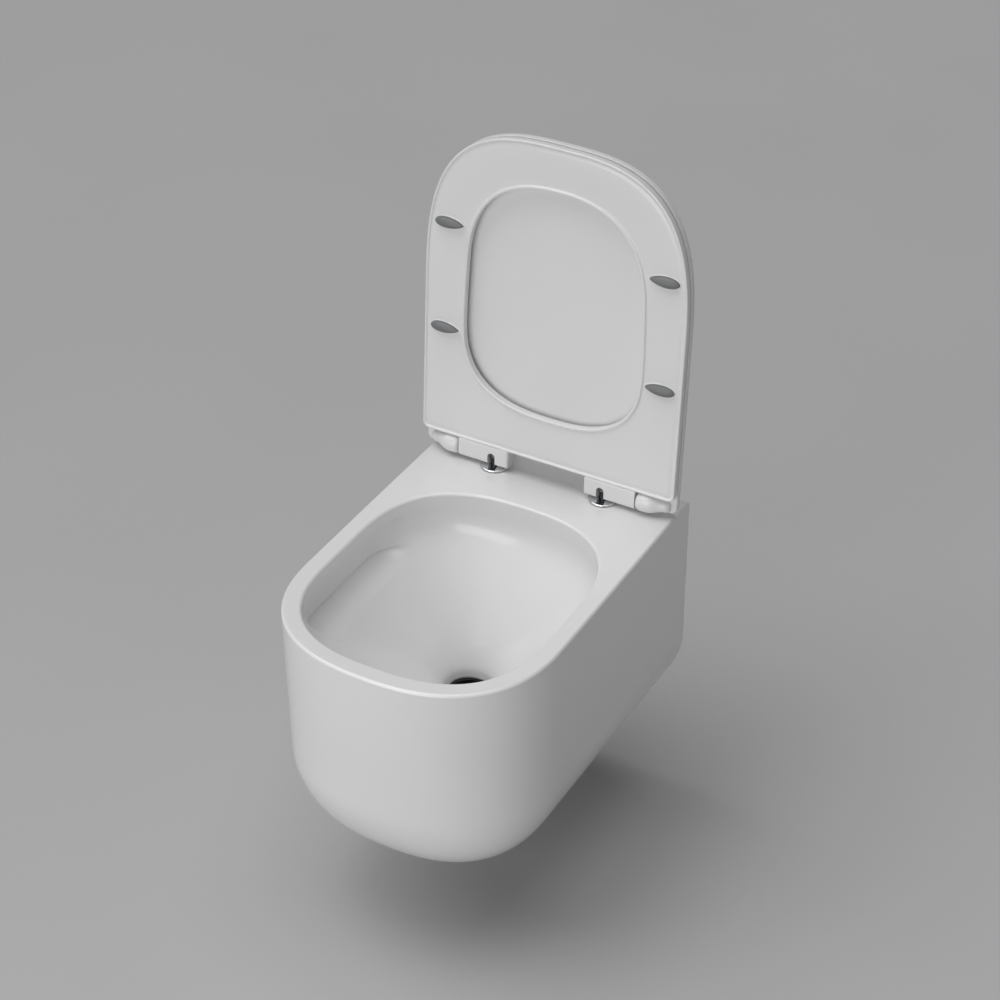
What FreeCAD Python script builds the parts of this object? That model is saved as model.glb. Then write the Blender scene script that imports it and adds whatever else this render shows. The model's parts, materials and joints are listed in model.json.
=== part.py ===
import FreeCAD, Part
import math
import os

# Wall hung toilet pan with a raised seat and lid.
# Millimetres. X runs to the right as seen from the front, Y runs towards the wall and Z runs up.
# The origin is on the wall face, midway between the two fixing bolts.
# The seat and lid are drawn closed and then turned up about the hinge line.

# Pan, outside
BOLT_DROP = 80.0            # rim plane above the fixing bolts
PAN_HEIGHT = 335.0          # rim plane to underside
PAN_HALF_WIDTH = 175.3      # widest half width, where the nose begins
PAN_BACK_HALF_WIDTH = 173.0
PAN_PROJECTION = 500.0      # wall face to front of rim
NOSE_START = 340.0          # wall face to the start of the rounded nose
NOSE_EXPONENT = 2.38        # squareness of the nose in plan
SIDE_DRAFT = 0.012          # half width lost per millimetre of depth
FRONT_DRAFT = 0.035         # projection lost per millimetre of depth
BELLY_RADIUS = 126.0        # round between the sides and the underside
RIM_EDGE = 4.0              # outer edge round of the rim
DECK_BACK_EDGE = 8.0        # round between the deck and the wall face
WALL = 11.0                 # outer wall of the ceramic
BACK_WALL = 13.0
DECK = 14.0                 # ceramic above the hollow deck

# Bowl
BOWL_HALF_WIDTH = 151.0
BOWL_BACK = 115.0           # wall face to the back of the bowl mouth
BOWL_FRONT = 475.0
BOWL_EXPONENT = 2.6
BOWL_EDGE = 3.5             # inner edge round of the rim
BOWL_WALL = 10.0
BAND = 20.0                 # upright band below the rim
SHOULDER_DEPTH = 30.0       # rim plane to where the bowl begins to narrow
GROOVE = 6.0                # how far the flushing groove is cut under the band
GROOVE_DEPTH = 57.0         # rim plane to the foot of the groove's outer wall
GROOVE_RUN_OUT = 50.0       # width and drop of the groove's sloping floor
GROOVE_RUN_DROP = 29.0
GROOVE_BACK = 192.0         # wall face to the ends of the groove
GROOVE_FRONT = 398.0
SUMP_RADIUS = 29.0
SUMP_CENTRE = 255.0         # wall face to the centre of the sump
SUMP_DEPTH = 196.0
# How the bowl narrows: share of the drop from shoulder to sump, share of the width left.
BOWL_PROFILE = [
    (0.062, 0.985), (0.123, 0.950), (0.185, 0.890), (0.259, 0.800), (0.346, 0.690), (0.444, 0.565),
    (0.543, 0.440), (0.636, 0.325), (0.722, 0.220), (0.796, 0.140), (0.864, 0.075), (0.932, 0.025),
]

# Trap and outlet
TRAP_RADIUS = 28.0
TRAP_WALL = 8.0
TRAP_FLOOR = 248.0          # rim plane to the centre line at its lowest
TRAP_HEEL = 188.0           # wall face to the foot of the rise
TRAP_BEND = 40.0
TRAP_TAIL = 13.0            # half the level run into the spigot
CREST_CORNER = (125.0, 97.0)     # top of the rise, from the wall and below the rim
OUTLET_DROP = 100.0         # outlet centre below the fixing bolts
SPIGOT_RADIUS = 51.0
SPIGOT_BORE = 45.0
SPIGOT_END = 8.0            # wall face to the end of the spigot
SPIGOT_FLOOR = 60.0
OUTLET_STEP = 4.0           # drop from the trap into the spigot
OUTLET_WINDOW = 72.0        # radius of the opening in the back wall

# Flushing water ways
INLET_RISE = 35.0           # inlet centre above the fixing bolts
INLET_BORE = 27.5
INLET_SOCKET = 50.0         # depth of the inlet socket
DUCT_BORE = 22.0
DUCT_WALL = 9.0
GALLERY_BACK = 82.0         # cross gallery, distances from the wall face
GALLERY_FRONT = 103.0
GALLERY_TOP = 22.0          # depths below the rim plane
GALLERY_BOTTOM = 56.0
RACE_INNER = 143.0          # side ducts that feed the groove
RACE_OUTER = 158.0
SEAL_RADIUS = 22.6          # flush pipe radius in the inlet seal
SEAL_LENGTH = 30.0

# Wall fixings
BOLT_SPACING = 180.0
BOLT_HOLE = 6.5
BUSH_RADIUS = 13.0
BUSH_LENGTH = 42.0
BOSS_RADIUS = 22.0
BOSS_LENGTH = 45.0
CLAMP_SIZE = (30.0, 22.0, 34.0)
CLAMP_BELOW = 0.6           # share of the clamp that hangs below the bolt
CLAMP_SCREW = 4.0
SCREW_SOCKET = 2.3          # hexagon socket, centre to corner
SOCKET_DEPTH = 4.0
KEY_HOLE = 9.0              # access hole for the key, through the underside

# Seat and lid
HINGE_LINE = 50.5           # wall face to hinge line
HINGE_HEIGHT = 17.0         # hinge line above the rim plane
OPEN_ANGLE = 93.6
SEAT_LIFT = 6.6             # underside lip above the rim when closed
SEAT_THICKNESS = 12.0
SEAT_OVERHANG = 2.7         # seat beyond the widest part of the pan, on each side
SEAT_BACK = 65.2
SEAT_NOSE_START = 272.8
SEAT_FRONT = 496.8
SEAT_EXPONENT = 2.9
SEAT_CORNER = 9.0           # round of the rear corners
LIP = 5.0                   # width of the lip round the underside
SEAT_RECESS = 1.0
SOFT_EDGE = 5.0             # upper edge rounds
LOWER_EDGE = 1.5
OPENING_HALF_WIDTH = 121.8
OPENING_BACK = 127.8
OPENING_WIDEST = 232.8
OPENING_NOSE_HALF = 118.0
OPENING_NOSE_START = 313.8
OPENING_FRONT = 436.8
OPENING_EXPONENTS = (2.6, 2.4)   # squareness of the opening's back and front
LID_GAP = 1.0
LID_THICKNESS = 11.3
LID_RECESS = 3.0
LID_SET_IN = 0.5            # lid inside the seat's edge, on each side
LID_BACK = 41.5
LID_FRONT = 496.4
LID_NOTCH = 71.3            # wall face to the front of the notch for the seat's barrels

# Hinges
HINGE_SPACING = 155.0
BARREL_RADIUS = 13.5
BARREL_INNER = 54.0         # distances from the middle along the hinge line
BARREL_OUTER = 125.0
BARREL_ROUND = 3.0
LUG_GAP = 1.3
LUG_ROUND_END = 146.0
LUG_TAPER_SET_IN = 9.5      # from the lid's edge to the end of the lug's taper
POST_RADIUS = 5.0
EYE_RADIUS = 6.5
EYE_WIDTH = 9.0
SLOT_WIDTH = 12.0
SLOT_RADIUS = 7.3
SLOT_REACH = 40.0           # how far the slot's open sides are cut, past the barrel
PIN_RADIUS = 4.0
PIN_INNER = 60.0
PIN_OUTER = 150.0
RUNNING_GAP = 0.05
CARTRIDGE_RADIUS = 8.0
CARTRIDGE_INNER = 85.0
DISC_RADIUS = 19.25
DISC_THICKNESS = 2.0
DISC_SEAL = 1.0
HINGE_HOLE = 7.5
STUD_RADIUS = 3.0
STUD_LENGTH = 46.0
SLEEVE_LENGTH = 30.0
SLEEVE_BULGE = 2.2
CONE_LENGTH = 10.0

# Buffers
BUFFER_GAP = 0.3
BUFFER_LENGTH = 39.0
BUFFER_ROUND = 7.0
BUFFER_TIP = 2.5
BUFFER_EDGE = 1.5
BUFFER_FRONT = (32.6, 361.2)     # in from the seat's edge, out from the wall face
BUFFER_REAR = (29.3, 216.7)
BUFFER_STEM = 3.0
STEM_LENGTH = 6.0
LID_BUFFER_RADIUS = 7.0
LID_BUFFER_REAR = (27.5, 150.0)  # in from the lid's edge, out from the wall face
LID_BUFFER_FRONT = (49.5, 400.0)

CURVE_POINTS = 9            # points on a quarter of a squared round
ARC_STEPS = 3               # sections on a small edge round
BELLY_STEPS = 7
FAR = 400.0                 # half size of cutting blocks that reach past the whole pan

RIM_Z = BOLT_DROP
SEAT_HALF_WIDTH = PAN_HALF_WIDTH + SEAT_OVERHANG
LID_HALF_WIDTH = SEAT_HALF_WIDTH - LID_SET_IN
LUG_TAPER_END = LID_HALF_WIDTH - LUG_TAPER_SET_IN
SEAT_TOP = SEAT_LIFT + SEAT_THICKNESS
LID_UNDER = SEAT_TOP + LID_GAP
LID_TOP = LID_UNDER + LID_THICKNESS
LUG_INNER = BARREL_OUTER + LUG_GAP
LUG_RADIUS = LID_TOP - HINGE_HEIGHT
SEAT_BUFFER_HEIGHT = SEAT_LIFT + SEAT_RECESS - BUFFER_GAP
HINGE_Z = RIM_Z + HINGE_HEIGHT
X_AXIS = FreeCAD.Vector(1, 0, 0)
Y_AXIS = FreeCAD.Vector(0, 1, 0)
Z_AXIS = FreeCAD.Vector(0, 0, 1)


def point(x, y, z=0.0):
    return FreeCAD.Vector(x, y, z)


def spline(points, start=None, end=None):
    """Smooth edge through the points, with end directions where they are given."""
    curve = Part.BSplineCurve()
    if start is None:
        curve.interpolate(points)
    else:
        curve.interpolate(points, InitialTangent=start, FinalTangent=end)
    return curve.toShape()


def squared_round(y_centre, half_width, reach, exponent, z, front):
    """Half of a superellipse, bulging to the front or to the back, from right to left."""
    side = -1.0 if front else 1.0
    points = []
    count = 2 * (CURVE_POINTS - 1)
    for step in range(count + 1):
        angle = math.pi * step / count
        cosine, sine = math.cos(angle), math.sin(angle)
        x = math.copysign(abs(cosine) ** (2.0 / exponent), cosine) * half_width
        y = y_centre + side * abs(sine) ** (2.0 / exponent) * reach
        points.append(point(x, y, z))
    points[0] = point(half_width, y_centre, z)
    points[-1] = point(-half_width, y_centre, z)
    return spline(points, point(0, side), point(0, -side))


def loft(wires, smooth=True):
    return Part.makeLoft(wires, True, not smooth)


def quarter_round(radius, steps=ARC_STEPS):
    """Inset and drop of points on a quarter round, from its flat end to its upright end."""
    angles = [0.5 * math.pi * step / steps for step in range(steps + 1)]
    return [(radius * (1 - math.sin(a)), radius * (1 - math.cos(a))) for a in angles]


def rounded_slab(outline, low, high, low_round, high_round):
    """Upright slab of outline(inset, z) with both its edges rounded."""
    top = [outline(inset, high - drop) for inset, drop in quarter_round(high_round)]
    foot = [outline(inset, low + drop) for inset, drop in quarter_round(low_round)]
    middle = loft([outline(0, low + low_round), outline(0, high - high_round)], False)
    return loft(top).fuse([middle, loft(foot)])


def box(x0, x1, y0, y1, z0, z1):
    corner = point(min(x0, x1), min(y0, y1), min(z0, z1))
    return Part.makeBox(abs(x1 - x0), abs(y1 - y0), abs(z1 - z0), corner)


def rod(radius, start, end):
    direction = end - start
    return Part.makeCylinder(radius, direction.Length, start, direction)


def turned(profile, origin, axis_along):
    """Solid of revolution; the profile lists (distance along the axis, radius)."""
    side = Z_AXIS if abs(axis_along.z) < 0.5 else X_AXIS
    points = [origin + axis_along * along + side * radius for along, radius in profile]
    face = Part.Face(Part.makePolygon(points + [points[0]]))
    return face.revolve(origin, axis_along, 360)


def tube(length, outer, inner, origin, axis_along, chamfer=0.5):
    profile = [
        (0, inner), (0, outer - chamfer), (chamfer, outer),
        (length - chamfer, outer), (length, outer - chamfer), (length, inner),
    ]
    return turned(profile, origin, axis_along)


def mirrored(shape):
    return shape.mirror(point(0, 0, 0), X_AXIS)


def one_solid(shape):
    """The single solid of a boolean result."""
    solids = shape.Solids
    if len(solids) != 1:
        raise RuntimeError("expected one solid, got %d" % len(solids))
    return solids[0]


def turned_up(shape):
    """Turn a closed seat or lid piece up to its raised rest."""
    raised = shape.copy()
    raised.rotate(point(0, -HINGE_LINE, HINGE_Z), X_AXIS, -OPEN_ANGLE)
    return raised


# ---- pan ------------------------------------------------------------------------------------

def pan_section(depth, inset):
    """Plan of the pan at a depth below the rim, drawn in by inset; flat at the wall."""
    z = RIM_Z - depth
    half = PAN_HALF_WIDTH - SIDE_DRAFT * depth - inset
    half_back = PAN_BACK_HALF_WIDTH - inset
    reach = PAN_PROJECTION - FRONT_DRAFT * depth - NOSE_START - inset
    side = Part.BezierCurve()
    side.setPoles([
        point(half_back, 0, z), point(half, -NOSE_START / 2, z), point(half, -NOSE_START, z)])
    right = side.toShape()
    side.setPoles([
        point(-half, -NOSE_START, z), point(-half, -NOSE_START / 2, z), point(-half_back, 0, z)])
    left = side.toShape()
    nose = squared_round(-NOSE_START, half, reach, NOSE_EXPONENT, z, True)
    back = Part.makeLine(point(-half_back, 0, z), point(half_back, 0, z))
    return Part.Wire([right, nose, left, back])


def pan_skin(inset, top):
    """Solid inside the outer face of the pan, from a depth down to the underside."""
    belly_start = PAN_HEIGHT - BELLY_RADIUS
    sides = loft([pan_section(top, inset), pan_section(belly_start, inset)], False)
    radius = BELLY_RADIUS - inset
    belly = []
    for step in range(BELLY_STEPS + 1):
        angle = 0.5 * math.pi * step / BELLY_STEPS
        depth = belly_start + radius * math.sin(angle)
        belly.append(pan_section(depth, inset + radius * (1 - math.cos(angle))))
    return sides.fuse(loft(belly))


def pan_outside():
    edge = [pan_section(drop, inset) for inset, drop in quarter_round(RIM_EDGE)]
    body = pan_skin(0, RIM_EDGE).fuse(loft(edge))
    centre_z = RIM_Z - DECK_BACK_EDGE
    left = point(-FAR - 1, -DECK_BACK_EDGE, centre_z)
    right = point(FAR + 1, -DECK_BACK_EDGE, centre_z)
    corner = box(-FAR, FAR, -DECK_BACK_EDGE, 1, centre_z, RIM_Z + 1)
    return body.cut(corner.cut(rod(DECK_BACK_EDGE, left, right)))


def bowl_section(depth, half, back, front, exponent):
    """Plan of the bowl: a squared round at each end and short straight sides."""
    z = RIM_Z - depth
    length = front - back
    back_reach = 0.41 * length
    front_reach = 0.40 * length
    y_back = -back - back_reach
    y_front = -front + front_reach
    rear = squared_round(y_back, half, back_reach, exponent, z, False)
    nose = squared_round(y_front, half, front_reach, exponent, z, True)
    right = Part.makeLine(point(half, y_back, z), point(half, y_front, z))
    left = Part.makeLine(point(-half, y_front, z), point(-half, y_back, z))
    return Part.Wire([right, nose, left, rear])


def bowl_mouth(grow, depth):
    half = BOWL_HALF_WIDTH + grow
    return bowl_section(depth, half, BOWL_BACK - grow, BOWL_FRONT + grow, BOWL_EXPONENT)


def bowl_funnel(grow):
    """The bowl below its shoulder, narrowing to the round sump."""
    sections = []
    for down, left_over in [(0.0, 1.0)] + BOWL_PROFILE + [(1.0, 0.0)]:
        depth = SHOULDER_DEPTH + down * (SUMP_DEPTH - SHOULDER_DEPTH)
        half = SUMP_RADIUS + left_over * (BOWL_HALF_WIDTH - SUMP_RADIUS)
        back = SUMP_CENTRE - SUMP_RADIUS - left_over * (SUMP_CENTRE - SUMP_RADIUS - BOWL_BACK)
        front = SUMP_CENTRE + SUMP_RADIUS + left_over * (BOWL_FRONT - SUMP_CENTRE - SUMP_RADIUS)
        exponent = 2.0 + left_over * (BOWL_EXPONENT - 2.0)
        sections.append(bowl_section(depth, half + grow, back - grow, front + grow, exponent))
    return loft(sections)


def bowl_cavity():
    flare = []
    for inset, drop in quarter_round(BOWL_EDGE):
        flare.append(bowl_mouth(BOWL_EDGE - inset, drop))
    band = loft([bowl_mouth(0, BOWL_EDGE), bowl_mouth(0, SHOULDER_DEPTH)], False)
    mouth = loft([bowl_mouth(BOWL_EDGE, -1), bowl_mouth(BOWL_EDGE, 0)], False)
    return band.fuse([loft(flare), mouth, bowl_funnel(0)])


def flushing_groove():
    """The groove under the band on both sides, with a floor that runs out into the bowl."""
    run_out = bowl_mouth(GROOVE - GROOVE_RUN_OUT, GROOVE_DEPTH + GROOVE_RUN_DROP)
    ring = loft([bowl_mouth(GROOVE, BAND), bowl_mouth(GROOVE, GROOVE_DEPTH)], False)
    ring = ring.fuse(loft([bowl_mouth(GROOVE, GROOVE_DEPTH), run_out], False))
    window = box(-FAR, FAR, -GROOVE_FRONT, -GROOVE_BACK, -RIM_Z, RIM_Z - BAND)
    return ring.common(window)


def trap_path():
    """Centre line of the trap in the middle plane: straight runs joined by bends."""
    outlet_depth = RIM_Z + OUTLET_DROP + SPIGOT_BORE - TRAP_RADIUS - OUTLET_STEP
    corners = [
        (SUMP_CENTRE, SUMP_DEPTH - 2),
        (SUMP_CENTRE, TRAP_FLOOR),
        (TRAP_HEEL, TRAP_FLOOR),
        CREST_CORNER,
        (SPIGOT_FLOOR + TRAP_TAIL, outlet_depth),
        (SPIGOT_FLOOR - TRAP_TAIL, outlet_depth),
    ]
    spots = [point(0, -from_wall, RIM_Z - depth) for from_wall, depth in corners]
    edges = []
    start = spots[0]
    for before, corner, after in zip(spots, spots[1:], spots[2:]):
        arriving = (corner - before).normalize()
        leaving = (after - corner).normalize()
        half_turn = arriving.getAngle(leaving) / 2
        trim = TRAP_BEND * math.tan(half_turn)
        arc_in = corner - arriving * trim
        arc_out = corner + leaving * trim
        inward = (leaving - arriving).normalize()
        middle = corner + inward * (TRAP_BEND / math.cos(half_turn) - TRAP_BEND)
        edges.append(Part.makeLine(start, arc_in))
        edges.append(Part.Arc(arc_in, middle, arc_out).toShape())
        start = arc_out
    edges.append(Part.makeLine(start, spots[-1]))
    return Part.Wire(edges)


def trap_tube(radius):
    path = trap_path()
    ring = Part.makeCircle(radius, path.Vertexes[0].Point, Z_AXIS)
    return path.makePipeShell([Part.Wire([ring])], True, False)


def wall_rod(x, z, radius, start, end):
    """Round bar square to the wall; distances are from the wall face."""
    return rod(radius, point(x, -start, z), point(x, -end, z))


def pan_hollow():
    """The space inside the ceramic, left open through the back wall."""
    core_top = GROOVE_DEPTH + WALL / 2
    core = pan_skin(WALL, core_top)
    core = core.cut(box(-FAR, FAR, -BACK_WALL, 1, -FAR, FAR))
    deck_front = GALLERY_BACK - DUCT_WALL
    deck_half = PAN_BACK_HALF_WIDTH - WALL - 2
    under_deck = box(-deck_half, deck_half, -deck_front, -BACK_WALL, RIM_Z - core_top - 5, RIM_Z - DECK)
    core = core.fuse(under_deck)
    gallery_z = RIM_Z - GALLERY_BOTTOM - DUCT_WALL
    groove_wall = bowl_mouth(GROOVE + BOWL_WALL, core_top - 1)
    groove_foot = bowl_mouth(GROOVE - GROOVE_RUN_OUT, core_top - 1 + GROOVE_RUN_DROP + BOWL_WALL)
    filled = [
        bowl_funnel(BOWL_WALL),
        loft([groove_wall, groove_foot], False),
        trap_tube(TRAP_RADIUS + TRAP_WALL),
        wall_rod(0, -OUTLET_DROP, SPIGOT_RADIUS, SPIGOT_END, SPIGOT_FLOOR + TRAP_WALL),
        wall_rod(0, INLET_RISE, INLET_BORE + DUCT_WALL, 0, GALLERY_FRONT),
        box(-RACE_OUTER - DUCT_WALL, RACE_OUTER + DUCT_WALL, -BOWL_BACK - BOWL_WALL, -deck_front,
            gallery_z, RIM_Z),
    ]
    for side in (-1, 1):
        filled.append(wall_rod(side * BOLT_SPACING / 2, 0, BOSS_RADIUS, 0, BOSS_LENGTH))
    return core.cut(filled)


def water_ways():
    """Inlet socket, cross gallery and the two side ducts that feed the groove."""
    top, bottom = RIM_Z - GALLERY_TOP, RIM_Z - GALLERY_BOTTOM
    ways = [
        wall_rod(0, INLET_RISE, DUCT_BORE, INLET_SOCKET - 1, GALLERY_FRONT - 4),
        box(-RACE_OUTER, RACE_OUTER, -GALLERY_FRONT, -GALLERY_BACK, bottom, top),
    ]
    for side in (-1, 1):
        ways.append(box(side * RACE_INNER, side * RACE_OUTER, -GROOVE_BACK - 6, -GALLERY_BACK, bottom, top))
    return wall_rod(0, INLET_RISE, INLET_BORE, -1, INLET_SOCKET).fuse(ways)


def fixing_holes():
    holes = []
    key_y = -(BOSS_LENGTH + CLAMP_SIZE[1] / 2)
    for side in (-1, 1):
        x = side * BOLT_SPACING / 2
        holes.append(wall_rod(x, 0, BUSH_RADIUS, -1, BOSS_LENGTH + 1))
        key_foot = point(x, key_y, RIM_Z - PAN_HEIGHT - 1)
        holes.append(rod(KEY_HOLE, key_foot, point(x, key_y, -BOLT_DROP)))
        holes.append(rod(HINGE_HOLE, hinge_spot(side, -DECK - 1), hinge_spot(side, 1)))
    return holes


def pan():
    body = pan_outside().cut(pan_hollow())
    openings = [
        bowl_cavity(),
        flushing_groove(),
        trap_tube(TRAP_RADIUS),
        water_ways(),
        wall_rod(0, -OUTLET_DROP, SPIGOT_BORE, -1, SPIGOT_FLOOR),
    ]
    body = body.cut(openings + fixing_holes())
    window = wall_rod(0, -OUTLET_DROP, OUTLET_WINDOW, -1, BACK_WALL)
    window = window.cut(wall_rod(0, -OUTLET_DROP, SPIGOT_RADIUS, SPIGOT_END, BACK_WALL))
    return one_solid(body.cut(window))


# ---- pipe seal and wall fixings -------------------------------------------------------------

def inlet_seal():
    lip = 3.0
    profile = [
        (0, SEAL_RADIUS), (0, INLET_BORE), (SEAL_LENGTH, INLET_BORE),
        (SEAL_LENGTH, SEAL_RADIUS + lip / 2), (SEAL_LENGTH - lip, SEAL_RADIUS),
    ]
    return turned(profile, point(0, -lip - SEAL_LENGTH, INLET_RISE), Y_AXIS)


def fixing_bush(side):
    origin = point(side * BOLT_SPACING / 2, -BUSH_LENGTH, 0)
    return tube(BUSH_LENGTH, BUSH_RADIUS, BOLT_HOLE, origin, Y_AXIS, 1.0)


def fixing_clamp(side):
    x = side * BOLT_SPACING / 2
    width, depth, height = CLAMP_SIZE
    back = -BOSS_LENGTH
    foot = -height * CLAMP_BELOW
    block = box(x - width / 2, x + width / 2, back - depth, back, foot, foot + height)
    block = block.makeFillet(2.0, [edge for edge in block.Edges if abs(edge.tangentAt(0).y) > 0.9])
    holes = [
        wall_rod(x, 0, BOLT_HOLE, BOSS_LENGTH - 1, BOSS_LENGTH + depth + 1),
        rod(CLAMP_SCREW, point(x, back - depth / 2, -height), point(x, back - depth / 2, 0)),
    ]
    return one_solid(block.cut(holes))


def clamp_screw(side):
    x = side * BOLT_SPACING / 2
    width, depth, height = CLAMP_SIZE
    y = -BOSS_LENGTH - depth / 2
    tip = -BOLT_HOLE - 0.5
    foot = -height * CLAMP_BELOW - 3.0
    screw = rod(CLAMP_SCREW, point(x, y, foot), point(x, y, tip))
    corners = []
    for corner in range(7):
        angle = math.radians(60 * corner)
        corners.append(point(x + SCREW_SOCKET * math.cos(angle), y + SCREW_SOCKET * math.sin(angle), foot))
    socket = Part.Face(Part.makePolygon(corners))
    return one_solid(screw.cut(socket.extrude(Z_AXIS * SOCKET_DEPTH)))


# ---- seat -----------------------------------------------------------------------------------

def panel_outline(half_width, back, front, nose_start, inset, z):
    """Seat or lid outline: straight back with round corners, straight sides, squared nose."""
    half = half_width - inset
    corner = SEAT_CORNER - inset
    y_back = -back - inset
    reach = front - nose_start - inset
    lean = corner * (1 - math.sqrt(0.5))
    right_corner = Part.Arc(
        point(half - corner, y_back, z), point(half - lean, y_back - lean, z),
        point(half, y_back - corner, z)).toShape()
    left_corner = Part.Arc(
        point(-half, y_back - corner, z), point(-half + lean, y_back - lean, z),
        point(-half + corner, y_back, z)).toShape()
    right = Part.makeLine(point(half, y_back - corner, z), point(half, -nose_start, z))
    left = Part.makeLine(point(-half, -nose_start, z), point(-half, y_back - corner, z))
    nose = squared_round(-nose_start, half, reach, SEAT_EXPONENT, z, True)
    rear = Part.makeLine(point(-half + corner, y_back, z), point(half - corner, y_back, z))
    return Part.Wire([rear, right_corner, right, nose, left, left_corner])


def seat_outline(inset, z):
    return panel_outline(SEAT_HALF_WIDTH, SEAT_BACK, SEAT_FRONT, SEAT_NOSE_START, inset, z)


def seat_opening(grow, z):
    """Outline of the hole in the seat: widest near the back and rounder at the front."""
    half = OPENING_HALF_WIDTH + grow
    nose_half = OPENING_NOSE_HALF + grow
    back_reach = OPENING_WIDEST - OPENING_BACK + grow
    nose_reach = OPENING_FRONT - OPENING_NOSE_START + grow
    back_exponent, nose_exponent = OPENING_EXPONENTS
    rear = squared_round(-OPENING_WIDEST, half, back_reach, back_exponent, z, False)
    nose = squared_round(-OPENING_NOSE_START, nose_half, nose_reach, nose_exponent, z, True)
    third = (OPENING_NOSE_START - OPENING_WIDEST) / 3
    curve = Part.BezierCurve()
    curve.setPoles([
        point(half, -OPENING_WIDEST, z), point(half, -OPENING_WIDEST - third, z),
        point(nose_half, -OPENING_NOSE_START + third, z), point(nose_half, -OPENING_NOSE_START, z)])
    right = curve.toShape()
    left = mirrored(right)
    return Part.Wire(Part.__sortEdges__([rear, right, nose, left]))


def opening_cutter(low, high):
    """The seat's hole, flared at both edges."""
    flares = []
    for radius, edge_z, outward in ((SOFT_EDGE, high, 1), (LOWER_EDGE, low, -1)):
        rings = [
            seat_opening(radius - inset, edge_z - outward * drop)
            for inset, drop in quarter_round(radius)]
        flares.append(loft(rings))
        flares.append(loft([seat_opening(radius, edge_z), seat_opening(radius, edge_z + outward)], False))
    core = loft([seat_opening(0, low + LOWER_EDGE), seat_opening(0, high - SOFT_EDGE)], False)
    return core.fuse(flares)


def barrel(side, radius, inner, outer, round_end):
    """Hinge barrel along the hinge line with its inner end rounded."""
    profile = [(inner, 0)]
    profile += [(inner + drop, radius - inset) for inset, drop in reversed(quarter_round(round_end))]
    profile += [(outer, radius), (outer, 0)]
    return turned(profile, point(0, -HINGE_LINE, HINGE_Z), X_AXIS * side)


def hinge_rod(side, radius, inner, outer):
    return rod(radius, point(side * inner, -HINGE_LINE, HINGE_Z), point(side * outer, -HINGE_LINE, HINGE_Z))


def post_slot(side):
    """Slot that lets the seat barrel swing past its post."""
    x = side * HINGE_SPACING / 2
    half = SLOT_WIDTH / 2
    y = -HINGE_LINE
    open_y = y + SLOT_REACH
    slot = box(x - half, x + half, y - SLOT_RADIUS, open_y, HINGE_Z - SLOT_REACH, HINGE_Z)
    slot = slot.fuse(box(x - half, x + half, y, open_y, HINGE_Z - 1, HINGE_Z + SLOT_RADIUS))
    return slot.fuse(rod(SLOT_RADIUS, point(x - half, y, HINGE_Z), point(x + half, y, HINGE_Z)))


def stem_bar(side, x, from_wall, low, high):
    """Upright bar at the blunt end of a seat buffer."""
    stem_x = side * (x + BUFFER_LENGTH / 2 - BUFFER_ROUND)
    return rod(BUFFER_STEM, point(stem_x, -from_wall, low), point(stem_x, -from_wall, high))


def buffer_spots():
    spots = {}
    for row, (set_in, from_wall) in (("front", BUFFER_FRONT), ("rear", BUFFER_REAR)):
        x = SEAT_HALF_WIDTH - set_in
        spots[row + "_left"] = (-1, x, from_wall)
        spots[row + "_right"] = (1, x, from_wall)
    return spots


def seat_ring():
    low = RIM_Z + SEAT_LIFT
    high = RIM_Z + SEAT_TOP
    ring = rounded_slab(seat_outline, low, high, LOWER_EDGE, SOFT_EDGE)
    web_inner = BARREL_INNER + 2 * BARREL_ROUND
    web_front = SEAT_BACK + SOFT_EDGE + 1
    for side in (-1, 1):
        web = box(side * web_inner, side * BARREL_OUTER, -web_front, -HINGE_LINE, low, high)
        round_part = barrel(side, BARREL_RADIUS, BARREL_INNER, BARREL_OUTER, BARREL_ROUND)
        ring = ring.fuse([round_part.cut(box(-FAR, FAR, -FAR, 0, RIM_Z - FAR, low)), web])
    recess = loft([seat_outline(LIP, low - 1), seat_outline(LIP, low + SEAT_RECESS)], False)
    island = loft([seat_opening(LIP, low - 2), seat_opening(LIP, low + SEAT_RECESS + 1)], False)
    cuts = [opening_cutter(low, high), recess.cut(island)]
    for side in (-1, 1):
        cuts.append(post_slot(side))
        cuts.append(hinge_rod(side, PIN_RADIUS + RUNNING_GAP, PIN_INNER - 1, CARTRIDGE_INNER + 1))
        cuts.append(hinge_rod(side, CARTRIDGE_RADIUS, CARTRIDGE_INNER, BARREL_OUTER + 1))
    for side, x, from_wall in buffer_spots().values():
        cuts.append(stem_bar(side, x, from_wall, low, low + SEAT_RECESS + STEM_LENGTH))
    return turned_up(one_solid(ring.cut(cuts)))


def teardrop(side, x, from_wall, inset, z):
    """Outline of a seat buffer: blunt outboard, drawn to a small round inboard."""
    blunt, tip = BUFFER_ROUND - inset, BUFFER_TIP - inset
    blunt_x = side * (x + BUFFER_LENGTH / 2 - BUFFER_ROUND)
    tip_x = side * (x - BUFFER_LENGTH / 2 + BUFFER_TIP)
    spread = abs(blunt_x - tip_x)
    lean = math.asin((blunt - tip) / spread)
    y = -from_wall
    along, across = side * math.sin(lean), math.cos(lean)
    top_blunt = point(blunt_x + along * blunt, y + across * blunt, z)
    foot_blunt = point(blunt_x + along * blunt, y - across * blunt, z)
    top_tip = point(tip_x + along * tip, y + across * tip, z)
    foot_tip = point(tip_x + along * tip, y - across * tip, z)
    edges = [
        Part.makeLine(top_tip, top_blunt),
        Part.Arc(top_blunt, point(blunt_x + side * blunt, y, z), foot_blunt).toShape(),
        Part.makeLine(foot_blunt, foot_tip),
        Part.Arc(foot_tip, point(tip_x - side * tip, y, z), top_tip).toShape(),
    ]
    return Part.Wire(edges)


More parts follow.
